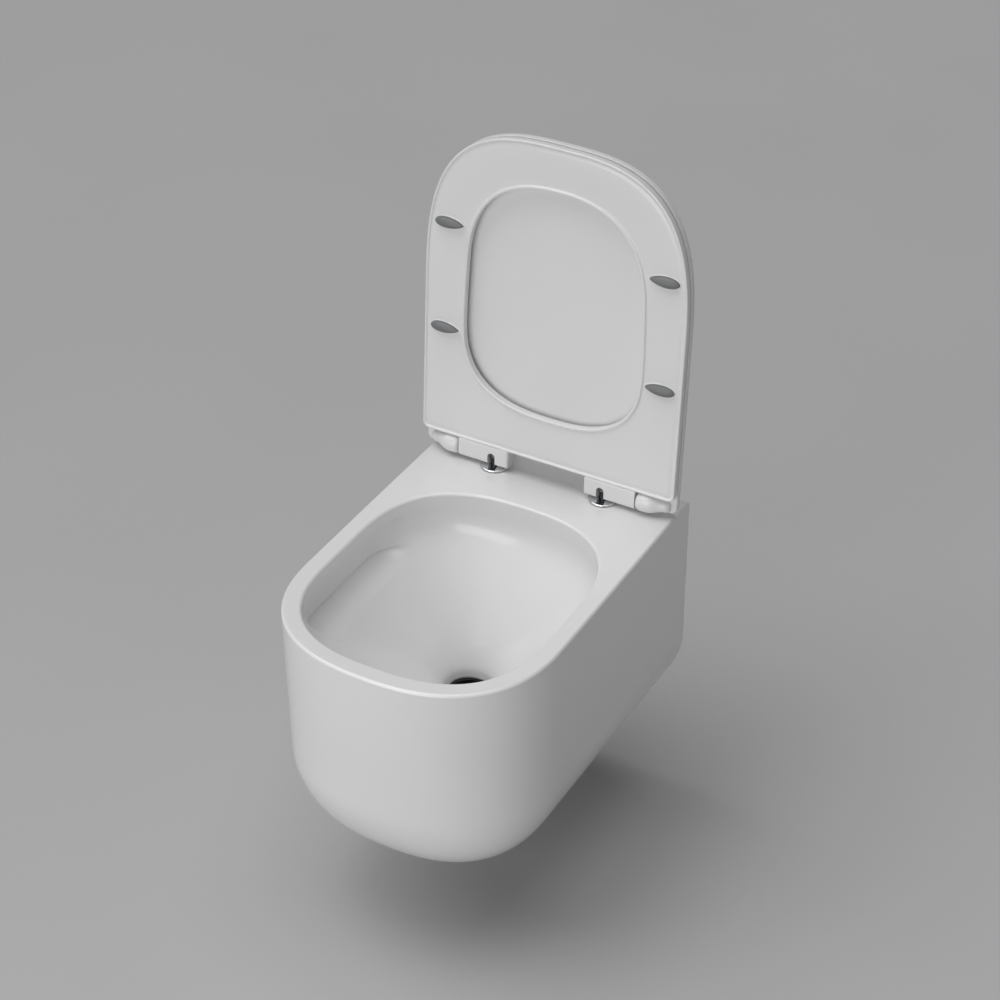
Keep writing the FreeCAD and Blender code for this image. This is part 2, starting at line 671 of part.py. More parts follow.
def seat_buffer(side, x, from_wall):
    foot = RIM_Z + BUFFER_GAP
    top = foot + SEAT_BUFFER_HEIGHT
    edge = BUFFER_EDGE
    rings = []
    for inset, drop in quarter_round(edge):
        rings.append(teardrop(side, x, from_wall, inset, foot + drop))
    wall = [teardrop(side, x, from_wall, 0, foot + edge), teardrop(side, x, from_wall, 0, top)]
    stem = stem_bar(side, x, from_wall, top - 1, top + STEM_LENGTH)
    return turned_up(one_solid(loft(rings).fuse([loft(wall, False), stem])))


def seat_cartridge(side):
    length = BARREL_OUTER - CARTRIDGE_INNER
    origin = point(side * CARTRIDGE_INNER, -HINGE_LINE, HINGE_Z)
    return turned_up(tube(length, CARTRIDGE_RADIUS, PIN_RADIUS + RUNNING_GAP, origin, X_AXIS * side))


# ---- lid ------------------------------------------------------------------------------------

def lid_outline(inset, z):
    return panel_outline(LID_HALF_WIDTH, LID_BACK, LID_FRONT, SEAT_NOSE_START, inset, z)


def lid_lug(side):
    """Barrel beside the seat's barrel, tapering outwards into the panel."""
    round_part = barrel(side, LUG_RADIUS, LUG_INNER, LUG_ROUND_END, BARREL_ROUND)
    big = Part.makeCircle(LUG_RADIUS, point(side * LUG_ROUND_END, -HINGE_LINE, HINGE_Z), X_AXIS)
    middle = RIM_Z + (LID_UNDER + LID_TOP) / 2
    small_radius = LID_THICKNESS / 2 - 0.2
    small = Part.makeCircle(small_radius, point(side * LUG_TAPER_END, -HINGE_LINE, middle), X_AXIS)
    return round_part.fuse(loft([Part.Wire([big]), Part.Wire([small])], False))


def lid_panel():
    low = RIM_Z + LID_UNDER
    high = RIM_Z + LID_TOP
    panel = rounded_slab(lid_outline, low, high, LOWER_EDGE, SOFT_EDGE)
    seat_space = box(-LUG_INNER, LUG_INNER, -LID_NOTCH, 0, low - 1, high + 1)
    panel = panel.cut(seat_space)
    panel = panel.fuse([lid_lug(-1), lid_lug(1)])
    lip = LIP + 1
    recess = loft([lid_outline(lip, low - 1), lid_outline(lip, low + LID_RECESS)], False)
    recess = recess.cut(box(-FAR, FAR, -LID_NOTCH - lip, 0, low - 2, high))
    cuts = [recess]
    for side in (-1, 1):
        cuts.append(hinge_rod(side, CARTRIDGE_RADIUS, LUG_INNER - 1, PIN_OUTER))
    return turned_up(one_solid(panel.cut(cuts)))


def lid_buffer(side, x, from_wall):
    foot = RIM_Z + SEAT_TOP + BUFFER_GAP
    height = LID_GAP + LID_RECESS - BUFFER_GAP
    profile = [
        (0, 0), (0, LID_BUFFER_RADIUS - 1), (1, LID_BUFFER_RADIUS), (height, LID_BUFFER_RADIUS),
        (height, 0),
    ]
    return turned_up(turned(profile, point(side * x, -from_wall, foot), Z_AXIS))


def lid_cartridge(side):
    length = PIN_OUTER - LUG_INNER
    origin = point(side * LUG_INNER, -HINGE_LINE, HINGE_Z)
    return turned_up(tube(length, CARTRIDGE_RADIUS, PIN_RADIUS + RUNNING_GAP, origin, X_AXIS * side))


# ---- hinge posts and their fixings ----------------------------------------------------------

def hinge_spot(side, height=0.0):
    return point(side * HINGE_SPACING / 2, -HINGE_LINE, RIM_Z + height)


def disc_seal(side):
    return tube(DISC_SEAL, DISC_RADIUS - 1, POST_RADIUS, hinge_spot(side), Z_AXIS, 0.2)


def hinge_disc(side):
    profile = [
        (0, POST_RADIUS), (0, DISC_RADIUS), (DISC_THICKNESS * 0.5, DISC_RADIUS),
        (DISC_THICKNESS * 0.85, DISC_RADIUS - 0.5), (DISC_THICKNESS, DISC_RADIUS - 1.5),
        (DISC_THICKNESS, POST_RADIUS),
    ]
    return turned(profile, hinge_spot(side, DISC_SEAL), Z_AXIS)


def hinge_post(side):
    foot = hinge_spot(side)
    centre = hinge_spot(side, HINGE_HEIGHT)
    half_eye = X_AXIS * (EYE_WIDTH / 2)
    post = rod(POST_RADIUS, foot, centre).fuse(rod(EYE_RADIUS, centre - half_eye, centre + half_eye))
    stud_hole = rod(STUD_RADIUS, foot - Z_AXIS, foot + Z_AXIS * (HINGE_HEIGHT / 2))
    pin_hole = rod(PIN_RADIUS, centre - half_eye * 2, centre + half_eye * 2)
    return one_solid(post.cut([stud_hole, pin_hole]))


def hinge_pin(side):
    ends = 0.5
    length = PIN_OUTER - 1 - PIN_INNER
    profile = [(0, 0), (0, PIN_RADIUS - ends), (ends, PIN_RADIUS), (length - ends, PIN_RADIUS)]
    profile += [(length, PIN_RADIUS - ends), (length, 0)]
    return turned(profile, point(side * PIN_INNER, -HINGE_LINE, HINGE_Z), X_AXIS * side)


def hinge_stud(side):
    return rod(STUD_RADIUS, hinge_spot(side, -STUD_LENGTH), hinge_spot(side, HINGE_HEIGHT / 2))


def expansion_sleeve(side):
    """Rubber sleeve squeezed against the hole and bulging below the deck."""
    flush = HINGE_HOLE
    bulge = HINGE_HOLE + SLEEVE_BULGE
    free = SLEEVE_LENGTH - DECK
    profile = [
        (0, STUD_RADIUS), (0, flush - 1), (free * 0.25, bulge), (free * 0.75, bulge),
        (free, flush), (SLEEVE_LENGTH, flush), (SLEEVE_LENGTH, STUD_RADIUS),
    ]
    return turned(profile, hinge_spot(side, -SLEEVE_LENGTH), Z_AXIS)


def cone_nut(side):
    profile = [
        (0, STUD_RADIUS), (0, HINGE_HOLE - 2), (CONE_LENGTH * 0.4, HINGE_HOLE - 1),
        (CONE_LENGTH, HINGE_HOLE - 1), (CONE_LENGTH, STUD_RADIUS),
    ]
    return turned(profile, hinge_spot(side, -SLEEVE_LENGTH - CONE_LENGTH), Z_AXIS)


def all_parts():
    parts = {
        "pan": pan(),
        "inlet_seal": inlet_seal(),
        "seat_ring": seat_ring(),
        "lid_panel": lid_panel(),
        "seat_damper_left": seat_cartridge(-1),
        "seat_bush_right": seat_cartridge(1),
        "lid_bush_left": lid_cartridge(-1),
        "lid_damper_right": lid_cartridge(1),
    }
    per_side = {
        "fixing_bush": fixing_bush,
        "fixing_clamp": fixing_clamp,
        "clamp_screw": clamp_screw,
        "disc_seal": disc_seal,
        "hinge_disc": hinge_disc,
        "hinge_post": hinge_post,
        "hinge_pin": hinge_pin,
        "hinge_stud": hinge_stud,
        "expansion_sleeve": expansion_sleeve,
        "cone_nut": cone_nut,
    }
    for name, make in per_side.items():
        parts[name + "_left"] = make(-1)
        parts[name + "_right"] = make(1)
    for name, (side, x, from_wall) in buffer_spots().items():
        parts["seat_buffer_" + name] = seat_buffer(side, x, from_wall)
    for row, (set_in, from_wall) in (("front", LID_BUFFER_FRONT), ("rear", LID_BUFFER_REAR)):
        x = LID_HALF_WIDTH - set_in
        parts["lid_buffer_%s_left" % row] = lid_buffer(-1, x, from_wall)
        parts["lid_buffer_%s_right" % row] = lid_buffer(1, x, from_wall)
    return parts


os.makedirs("parts", exist_ok=True)
for name, shape in all_parts().items():
    shape.exportStep("parts/%s.step" % name)
    print("%-24s %9.1f cm3  valid %s" % (name, shape.Volume / 1000, shape.isValid()))
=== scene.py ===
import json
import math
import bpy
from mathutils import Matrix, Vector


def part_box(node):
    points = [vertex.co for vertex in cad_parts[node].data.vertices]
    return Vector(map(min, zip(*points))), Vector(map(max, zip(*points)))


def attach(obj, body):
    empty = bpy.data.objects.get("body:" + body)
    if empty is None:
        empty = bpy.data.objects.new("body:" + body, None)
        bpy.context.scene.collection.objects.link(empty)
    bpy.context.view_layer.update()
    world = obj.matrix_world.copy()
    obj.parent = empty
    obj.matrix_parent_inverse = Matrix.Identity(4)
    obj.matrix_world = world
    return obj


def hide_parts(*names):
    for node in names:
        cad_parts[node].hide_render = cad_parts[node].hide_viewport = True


bl_info = {
    "name": "Wall Hung Toilet",
    "version": (1, 0, 0),
    "blender": (4, 5, 0),
    "location": "View3D > Sidebar > Toilet",
    "description": "A wall hung toilet pan with its seat and lid raised",
    "category": "Add Mesh",
}

import bmesh
import bpy
import numpy as np
from bpy.props import FloatProperty, FloatVectorProperty, PointerProperty
from mathutils import Matrix, Vector

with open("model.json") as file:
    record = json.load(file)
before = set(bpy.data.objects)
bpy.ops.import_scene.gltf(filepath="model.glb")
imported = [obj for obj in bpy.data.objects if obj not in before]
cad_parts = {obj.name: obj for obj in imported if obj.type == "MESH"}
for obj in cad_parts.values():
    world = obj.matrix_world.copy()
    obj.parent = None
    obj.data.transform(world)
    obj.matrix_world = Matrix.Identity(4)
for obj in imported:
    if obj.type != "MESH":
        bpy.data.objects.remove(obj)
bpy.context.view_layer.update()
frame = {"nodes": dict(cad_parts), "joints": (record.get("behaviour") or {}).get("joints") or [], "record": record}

SEAT_HINGE = frame["joints"][0]
HINGE_OUT = -SEAT_HINGE["pos_m"][1] * 1000      # hinge line, millimetres out from the wall
HINGE_HEIGHT = SEAT_HINGE["pos_m"][2] * 1000
OPEN_ANGLE = SEAT_HINGE["range_deg"][1]
PAN_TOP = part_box("pan")[1].z * 1000             # height of the rim
BOLT_SPACING = frame["record"]["mounts"][0]["dims"]["spacing_x_mm"]


# ---- sizes and colours a user would change --------------------------------------------------

def length(name, description, millimetres):
    return FloatProperty(name=name, description=description, default=millimetres / 1000,
                         min=0.0, precision=4, unit="LENGTH")


def colour(name, description, code):
    return FloatVectorProperty(name=name, description=description, default=from_hex(code),
                               size=4, min=0.0, max=1.0, subtype="COLOR")


def from_hex(code):
    """An sRGB hex colour as the linear colour that shaders use."""
    channels = [int(code[i:i + 2], 16) / 255 for i in (1, 3, 5)]
    linear = [c / 12.92 if c <= 0.04045 else ((c + 0.055) / 1.055) ** 2.4 for c in channels]
    return (*linear, 1.0)


class PanSizes(bpy.types.PropertyGroup):
    half_width: length("Half width", "Widest half width of the pan", 175.3)
    back_half_width: length("Back half width", "Half width of the pan at the wall", 173.0)
    projection: length("Projection", "Wall face to the front of the rim", 500.0)
    height: length("Height", "Rim to underside", 335.0)
    nose_start: length("Nose start", "Wall face to where the nose begins", 340.0)
    belly: length("Belly round", "Radius between the sides and the underside", 126.0)
    rim_round: length("Rim round", "Round of the rim's outer edge", 4.0)
    mouth_round: length("Mouth round", "Round of the rim's inner edge", 3.5)
    bowl_half_width: length("Bowl half width", "Half width of the bowl's mouth", 151.0)
    bowl_back: length("Bowl back", "Wall face to the back of the bowl's mouth", 115.0)
    bowl_front: length("Bowl front", "Wall face to the front of the bowl's mouth", 475.0)
    sump_depth: length("Sump depth", "Rim to the mouth of the trap", 196.0)
    groove: length("Groove", "How far the flushing groove is cut under the band", 6.0)
    glaze: colour("Glaze", "Colour of the glaze", "#E2E2E2")


class SeatSizes(bpy.types.PropertyGroup):
    half_width: length("Half width", "Half width of the seat", 178.0)
    seat_back: length("Seat back", "Wall face to the rear edge of the closed seat", 65.2)
    seat_front: length("Seat front", "Wall face to the front of the closed seat", 494.8)
    lift: length("Lift", "Rim to the underside of the closed seat", 6.6)
    thickness: length("Seat thickness", "Thickness of the seat", 12.0)
    bead: length("Bead", "Width of the bead round the seat's underside", 2.6)
    lid_set_in: length("Lid set in", "Lid inside the seat's edge on each side", 0.5)
    lid_back: length("Lid back", "Wall face to the rear edge of the closed lid", 41.5)
    lid_front: length("Lid front", "Wall face to the front of the closed lid", 494.4)
    lid_thickness: length("Lid thickness", "Thickness of the lid", 11.3)
    shell: colour("Shell", "Colour of the seat and lid", "#E2E2E2")
    buffer: colour("Buffer", "Colour of the rubber buffers", "#717273")


class HingeSizes(bpy.types.PropertyGroup):
    spacing: length("Spacing", "Distance between the two hinge posts", 155.0)
    barrel: length("Barrel", "Radius of the seat's hinge barrels", 13.5)
    post: length("Post", "Radius of the hinge posts", 5.0)
    disc: length("Disc", "Radius of the cover discs on the deck", 19.25)
    plating: colour("Plating", "Colour of the chrome plating", "#DADBDD")


class StageSizes(bpy.types.PropertyGroup):
    floor_drop: length("Floor drop", "Rim to floor", 458.0)
    floor: colour("Floor", "Colour of the floor", "#B5B5B5")


# ---- mesh making, in millimetres ------------------------------------------------------------

def object_from(name, points, faces):
    """A mesh object from points in millimetres, with its faces turned outwards."""
    mesh = bpy.data.meshes.new(name)
    mesh.from_pydata((np.asarray(points, float) / 1000).tolist(), [], faces)
    shape = bmesh.new()
    shape.from_mesh(mesh)
    bmesh.ops.recalc_face_normals(shape, faces=shape.faces)
    shape.to_mesh(mesh)
    shape.free()
    made = bpy.data.objects.new(name, mesh)
    bpy.context.scene.collection.objects.link(made)
    return made


def skin(name, rings, closed=False):
    """A solid through rings of equally many points; its ends are capped unless the rings meet."""
    count = len(rings[0])
    rows = len(rings)
    faces = []
    for row in range(rows if closed else rows - 1):
        a, b = row * count, (row + 1) % rows * count
        for i in range(count):
            j = (i + 1) % count
            faces.append((a + i, a + j, b + j, b + i))
    if not closed:
        faces.append(tuple(range(count)))
        faces.append(tuple(range((rows - 1) * count, rows * count)))
    return object_from(name, np.vstack(rings), faces)


def rod(start, end, radius, end_radius=None, segments=96):
    """A round bar between two points."""
    start, end = Vector(start), Vector(end)
    along = (end - start).normalized()
    across = along.orthogonal().normalized()
    other = along.cross(across)
    rings = []
    for centre, size in ((start, radius), (end, end_radius or radius)):
        turns = [2 * math.pi * i / segments for i in range(segments)]
        rings.append([centre + (across * math.cos(t) + other * math.sin(t)) * size for t in turns])
    return skin("rod", rings)


def block(x0, x1, out0, out1, low, high):
    """A box; out is the distance from the wall face and heights are above the bolts."""
    corners = [(x0, -out0), (x1, -out0), (x1, -out1), (x0, -out1)]
    return skin("block", [[(x, y, z) for x, y in corners] for z in (low, high)])


def turned(profile, centre, axis="Z", segments=96, band=True):
    """A solid turned about an axis from (along, radius) places, as a closed band or a full bar."""
    rings = []
    for along, radius in profile:
        ring = []
        for i in range(segments):
            angle = 2 * math.pi * i / segments
            a, b = radius * math.cos(angle), radius * math.sin(angle)
            local = (a, b, along) if axis == "Z" else (along, a, b)
            ring.append(tuple(c + v for c, v in zip(centre, local)))
        rings.append(ring)
    return skin("turned", rings, closed=band)


def extruded(outline, x0, x1, round0=0.0, round1=0.0):
    """A solid with its outline in the (out, height) plane and its ends rounded."""
    outline = np.asarray(outline, float)
    middle = (outline.min(axis=0) + outline.max(axis=0)) / 2
    size = (outline.max(axis=0) - outline.min(axis=0)) / 2
    forward = 1 if x1 > x0 else -1
    rings = []
    for end, round_end, way in ((x0, round0, 1), (x1, round1, -1)):
        sections = [(inset, drop) for inset, drop in quarter_round(round_end)][::way]
        for inset, drop in sections:
            shrunk = middle + (outline - middle) * (1 - inset / size)
            x = end + way * forward * drop
            rings.append([(x, -out, height) for out, height in shrunk])
    return skin("extruded", rings)


def evaluated_mesh(holder):
    """The object's mesh with its modifiers used up."""
    graph = bpy.context.evaluated_depsgraph_get()
    graph.update()
    mesh = bpy.data.meshes.new_from_object(holder.evaluated_get(graph), depsgraph=graph)
    holder.modifiers.clear()
    holder.data = mesh
    return mesh


def combine(target, tools, operation):
    """Joins solids to the target, or cuts them from it; an empty result is an error."""
    for tool in tools:
        step = target.modifiers.new("step", "BOOLEAN")
        step.operation = operation
        step.solver = "MANIFOLD"
        step.object = tool
    evaluated_mesh(target)
    if not target.data.polygons:
        raise RuntimeError(f"nothing was left of {target.name} after {operation.lower()}")
    for tool in tools:
        bpy.data.objects.remove(tool)
    return target


def finish_shading(made, angle=32.0, weighted=True):
    """Smooth shading with sharp edges kept and flat faces kept flat."""
    mesh = made.data
    mesh.shade_smooth()
    mesh.set_sharp_from_angle(angle=math.radians(angle))
    if weighted:
        step = made.modifiers.new("normals", "WEIGHTED_NORMAL")
        step.keep_sharp = True
        evaluated_mesh(made)
    return made


def turn_up(made):
    """Turns a closed seat or lid piece up about the hinge line to its raised rest."""
    pivot = Matrix.Translation((0, -HINGE_OUT / 1000, HINGE_HEIGHT / 1000))
    turn = Matrix.Rotation(math.radians(-OPEN_ANGLE), 4, "X")
    made.data.transform(pivot @ turn @ pivot.inverted())
    return made


def settle(made, name, material, body, slot, *nodes):
    """Names a finished piece, gives it its finish and hangs it on its body."""
    made.name = name
    made.data.name = name
    made.data.materials.clear()
    made.data.materials.append(material)
    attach(made, body)
    if nodes:
        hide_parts(*nodes)
    return made


def eased(t):
    t = np.clip(t, 0.0, 1.0)
    return t * t * (3 - 2 * t)


def quarter_round(radius, steps=8):
    """Inset and drop of points on a quarter round, from its flat end to its upright end."""
    angles = [0.5 * math.pi * step / steps for step in range(steps + 1)]
    return [(radius * (1 - math.sin(a)), radius * (1 - math.cos(a))) for a in angles]


def ray_lengths(inside, centre, directions):
    """How far rays from a point out from the wall run before they leave an outline."""
    low = np.zeros(len(directions))
    high = np.full(len(directions), 900.0)
    for _ in range(42):
        middle = (low + high) / 2
        within = inside(middle * directions[:, 0], centre + middle * directions[:, 1])
        low = np.where(within, middle, low)
        high = np.where(within, high, middle)
    return low


def ring_at(lengths, centre, directions, height):
    """Points of a level ring, given in the part's frame."""
    x = lengths * directions[:, 0]
    out = centre + lengths * directions[:, 1]
    return np.column_stack([x, -out, np.full(len(x), height) if np.isscalar(height) else height])


def ray_angles(step, dense, exact=()):
    """Angles round a ring, closer together near the places in dense, in degrees."""
    angles = list(np.arange(0.0, 360.0, step)) + list(exact)
    for place, spread, fine in dense:
        angles += list(np.arange(place - spread, place + spread, fine))
    kept = []
    for angle in sorted(a % 360 for a in angles):
        if not kept or angle - kept[-1] > 0.12 or angle in exact:
            kept.append(angle)
    return np.radians(kept)


def directions_of(angles):
    return np.column_stack([np.cos(angles), -np.sin(angles)])


def smooth_curve(xs, ys, x):
    """Smooth curve through points that keeps to their run."""
    xs, ys = np.asarray(xs, float), np.asarray(ys, float)
    slopes = np.diff(ys) / np.diff(xs)
    tangents = np.concatenate([[slopes[0]], (slopes[1:] + slopes[:-1]) / 2, [slopes[-1]]])
    i = int(np.clip(np.searchsorted(xs, x) - 1, 0, len(xs) - 2))
    width = xs[i + 1] - xs[i]
    t = (x - xs[i]) / width
    a = (1 + 2 * t) * (1 - t) ** 2 * ys[i] + t * (1 - t) ** 2 * width * tangents[i]
    return a + t * t * (3 - 2 * t) * ys[i + 1] + t * t * (t - 1) * width * tangents[i + 1]


# ---- copies by geometry nodes ---------------------------------------------------------------

def rows_tree(name, rows, material):
    """A node tree that sets pairs of a piece either side of the middle, one pair in each row."""
    tree = bpy.data.node_groups.new(name, "GeometryNodeTree")
    tree.interface.new_socket("Geometry", in_out="INPUT", socket_type="NodeSocketGeometry")
    for row in range(rows):
        tree.interface.new_socket(f"Half Spacing {row + 1}", in_out="INPUT",
                                  socket_type="NodeSocketFloat")
        tree.interface.new_socket(f"Place {row + 1}", in_out="INPUT",
                                  socket_type="NodeSocketVector")
    tree.interface.new_socket("Geometry", in_out="OUTPUT", socket_type="NodeSocketGeometry")
    given = add_node(tree, "NodeGroupInput")
    joined = add_node(tree, "GeometryNodeJoinGeometry")
    index = add_node(tree, "GeometryNodeInputIndex")
    half_turn = add_node(tree, "ShaderNodeMath", {0: index.outputs[0], 1: math.pi},
                         operation="MULTIPLY")
    facing = add_node(tree, "ShaderNodeCombineXYZ", {"Z": half_turn.outputs[0]})
    for row in range(rows):
        spacing, place = given.outputs[1 + 2 * row], given.outputs[2 + 2 * row]
        back = add_node(tree, "ShaderNodeMath", {0: spacing, 1: -2.0}, operation="MULTIPLY")
        offset = add_node(tree, "ShaderNodeCombineXYZ", {"X": back.outputs[0]})
        first = add_node(tree, "ShaderNodeCombineXYZ", {"X": spacing})
        start = add_node(tree, "ShaderNodeVectorMath", {0: first.outputs[0], 1: place},
                         operation="ADD")
        pair = add_node(tree, "GeometryNodeMeshLine",
                        {"Count": 2, "Start Location": start.outputs[0],
                         "Offset": offset.outputs[0]})
        copies = add_node(tree, "GeometryNodeInstanceOnPoints",
                          {"Points": pair.outputs[0], "Instance": given.outputs[0],
                           "Rotation": facing.outputs[0]})
        tree.links.new(copies.outputs[0], joined.inputs[0])
    real = add_node(tree, "GeometryNodeRealizeInstances", {0: joined.outputs[0]})
    dressed = add_node(tree, "GeometryNodeSetMaterial",
                       {"Geometry": real.outputs[0], "Material": material})
    add_node(tree, "NodeGroupOutput", {0: dressed.outputs[0]})
    return tree


def place_pairs(piece, name, material, rows):
    """Pairs of a piece by geometry nodes; rows lists (half spacing, place) in metres."""
    tree = rows_tree(name, len(rows), material)
    step = piece.modifiers.new(name, "NODES")
    step.node_group = tree
    sockets = [item.identifier for item in tree.interface.items_tree if item.in_out == "INPUT"]
    for row, (half_spacing, place) in enumerate(rows):
        step[sockets[1 + 2 * row]] = half_spacing
        step[sockets[2 + 2 * row]] = place
    evaluated_mesh(piece)
    return piece


# ---- materials ------------------------------------------------------------------------------

def add_node(tree, kind, inputs=None, **settings):
    """Adds a node with its settings; inputs are values or the sockets that feed them."""
    node = tree.nodes.new(kind)
    for name, value in settings.items():
        setattr(node, name, value)
    for name, value in (inputs or {}).items():
        if isinstance(value, bpy.types.NodeSocket):
            tree.links.new(value, node.inputs[name])
        else:
            node.inputs[name].default_value = value
    return node


def new_material(name):
    """A material with its shader and its object coordinates ready."""
    material = bpy.data.materials.new(name)
    material.use_nodes = True
    tree = material.node_tree
    tree.nodes.clear()
    shader = add_node(tree, "ShaderNodeBsdfPrincipled")
    add_node(tree, "ShaderNodeOutputMaterial", {"Surface": shader.outputs[0]})
    place = add_node(tree, "ShaderNodeTexCoord").outputs["Object"]
    return material, tree, shader, place


def noise(tree, place, millimetres, detail=2.0):
    """Noise whose patches are about so many millimetres wide."""
    return add_node(tree, "ShaderNodeTexNoise",
                    {"Vector": place, "Scale": 1000 / millimetres, "Detail": detail}).outputs[0]


def tint(tree, amount, low, high):
    """Runs from one colour to another as the amount goes from 0.3 to 0.7."""
    ramp = add_node(tree, "ShaderNodeValToRGB", {0: amount})
    ramp.color_ramp.elements[0].position = 0.3
    ramp.color_ramp.elements[0].color = low
    ramp.color_ramp.elements[1].position = 0.7
    ramp.color_ramp.elements[1].color = high
    return ramp.outputs[0]


def bump(tree, height, depth_mm, strength=1.0, normal=None):
    inputs = {"Height": height, "Distance": depth_mm / 1000, "Strength": strength}
    if normal is not None:
        inputs["Normal"] = normal
    return add_node(tree, "ShaderNodeBump", inputs).outputs[0]


def shade(code, factor):
    """A linear colour made a little lighter or darker."""
    return (*[min(1.0, c * factor) for c in code[:3]], 1.0)


def throat_painted_shade_mask(tree, place):
    """One in the throat of the trap under the sump, where dark shade is painted, else zero."""
    mouth = PAN_TOP / 1000 - bpy.context.scene.toilet_pan.sump_depth
    level = add_node(tree, "ShaderNodeVectorMath", {0: place, 1: (1, 1, 0)}, operation="MULTIPLY")
    away = add_node(tree, "ShaderNodeVectorMath",
                    {0: level.outputs[0], 1: (0, -SUMP_CENTRE / 1000, 0)}, operation="DISTANCE")
    near = add_node(tree, "ShaderNodeMath", {0: away.outputs["Value"], 1: THROAT_REACH / 1000},
                    operation="LESS_THAN")
    height = add_node(tree, "ShaderNodeSeparateXYZ", {0: place}).outputs[2]
    below = add_node(tree, "ShaderNodeMapRange", {"Value": height, "From Min": mouth - 0.001,
                                                  "From Max": mouth + 0.002, "To Min": 1.0,
                                                  "To Max": 0.0}).outputs[0]
    inside = add_node(tree, "ShaderNodeMath", {0: height, 1: mouth - THROAT_DEPTH / 1000},
                      operation="GREATER_THAN")
    mask = add_node(tree, "ShaderNodeMath", {0: near.outputs[0], 1: inside.outputs[0]},
                    operation="MULTIPLY")
    return add_node(tree, "ShaderNodeMath", {0: mask.outputs[0], 1: below},
                    operation="MULTIPLY").outputs[0]


def glazed_china(colour_value):
    """Vitreous china, glazed and fired: white, hard and glossy as a film of water, with a faint ripple where
    the glaze ran before it set, so long reflections waver a little. The trap's throat has painted
    shade: a dark colour mixed into the glaze there, so it reads as a dark hole."""
    material, tree, shader, place = new_material("glazed_vitreous_china")
    cloud = noise(tree, place, 160, 1.0)
    base = tint(tree, cloud, shade(colour_value, 0.985), shade(colour_value, 1.01))
    # painted shade: a dark colour in the trap's throat stands in for its shadow
    throat_painted_shade = add_node(tree, "ShaderNodeMix", {0: throat_painted_shade_mask(tree, place), 6: base,
                                           7: from_hex("#2A2928")}, data_type="RGBA")
    tree.links.new(throat_painted_shade.outputs[2], shader.inputs["Base Color"])
    ripple = bump(tree, noise(tree, place, 45, 1.0), 0.10, 0.35)
    peel = bump(tree, noise(tree, place, 6, 2.0), 0.006, 0.30, ripple)
    tree.links.new(peel, shader.inputs["Coat Normal"])
    tree.links.new(ripple, shader.inputs["Normal"])
    shader.inputs["Roughness"].default_value = 0.32
    shader.inputs["IOR"].default_value = 1.5
    shader.inputs["Coat Weight"].default_value = 0.55
    shader.inputs["Coat Roughness"].default_value = 0.06
    shader.inputs["Coat IOR"].default_value = 1.52
    return material


def moulded_shell(colour_value):
    """Urea moulding compound, pressed hot in a polished tool: white, a shade softer than the
    glaze, with a very fine orange peel."""
    material, tree, shader, place = new_material("moulded_urea_white")
    cloud = noise(tree, place, 120, 1.0)
    base = tint(tree, cloud, shade(colour_value, 0.99), shade(colour_value, 1.005))
    tree.links.new(base, shader.inputs["Base Color"])
    peel = bump(tree, noise(tree, place, 3, 2.0), 0.004, 0.4)
    tree.links.new(peel, shader.inputs["Normal"])
    shader.inputs["Roughness"].default_value = 0.30
    shader.inputs["IOR"].default_value = 1.55
    shader.inputs["Coat Weight"].default_value = 0.25
    shader.inputs["Coat Roughness"].default_value = 0.12
    return material


def moulded_rubber(name, colour_value, roughness):
    """Soft moulded rubber: matt, with a fine grain and a little dust in it."""
    material, tree, shader, place = new_material(name)
    speck = noise(tree, place, 0.8, 3.0)
    base = tint(tree, speck, shade(colour_value, 0.9), shade(colour_value, 1.1))
    tree.links.new(base, shader.inputs["Base Color"])
    grain = bump(tree, noise(tree, place, 0.5, 2.0), 0.02, 0.5)
    tree.links.new(grain, shader.inputs["Normal"])
    shader.inputs["Roughness"].default_value = roughness
    shader.inputs["IOR"].default_value = 1.52
    return material


def chrome_plate(colour_value):
    """Chromed zinc of the cover discs: a mirror with a cool cast, hazed in faint patches where
    hands wipe it."""
    material, tree, shader, place = new_material("chrome_plate")
    haze = noise(tree, place, 9, 3.0)
    dull = add_node(tree, "ShaderNodeMapRange",
                    {"Value": haze, "To Min": 0.04, "To Max": 0.12}).outputs[0]
    tree.links.new(dull, shader.inputs["Roughness"])
    shader.inputs["Base Color"].default_value = colour_value
    shader.inputs["Metallic"].default_value = 1.0
    return material


def post_plate_painted_shade():
    """Plate on the posts: a mirror whose base colour is darkened well below the discs' chrome as painted
    shade for the shadowed slot it stands in, so the white round it shows on it only as thin bright streaks."""
    material, tree, shader, place = new_material("post_plate_painted_shade_finish")
    haze = noise(tree, place, 6, 3.0)
    dull = add_node(tree, "ShaderNodeMapRange",
                    {"Value": haze, "To Min": 0.08, "To Max": 0.16}).outputs[0]
    tree.links.new(dull, shader.inputs["Roughness"])
    # painted shade: the post's base colour is darkened for the shade it mirrors in its slot
    shader.inputs["Base Color"].default_value = from_hex("#5C5D5F")
    shader.inputs["Metallic"].default_value = 1.0
    return material


def turned_steel():
    """Stainless steel turned on a lathe: rings of fine tool marks across the bar, drawn at
    0.6 mm because the real ones would not show."""
    material, tree, shader, place = new_material("turned_stainless_steel")
    rings = add_node(tree, "ShaderNodeTexWave",
                     {"Vector": place, "Scale": 1000 / 0.6 / 20, "Distortion": 0.6, "Detail": 2.0},
                     bands_direction="X").outputs[1]
    marks = bump(tree, rings, 0.01, 0.5)
    tree.links.new(marks, shader.inputs["Normal"])
    shader.inputs["Base Color"].default_value = from_hex("#B4B3AF")
    shader.inputs["Metallic"].default_value = 1.0
    shader.inputs["Roughness"].default_value = 0.28
    return material


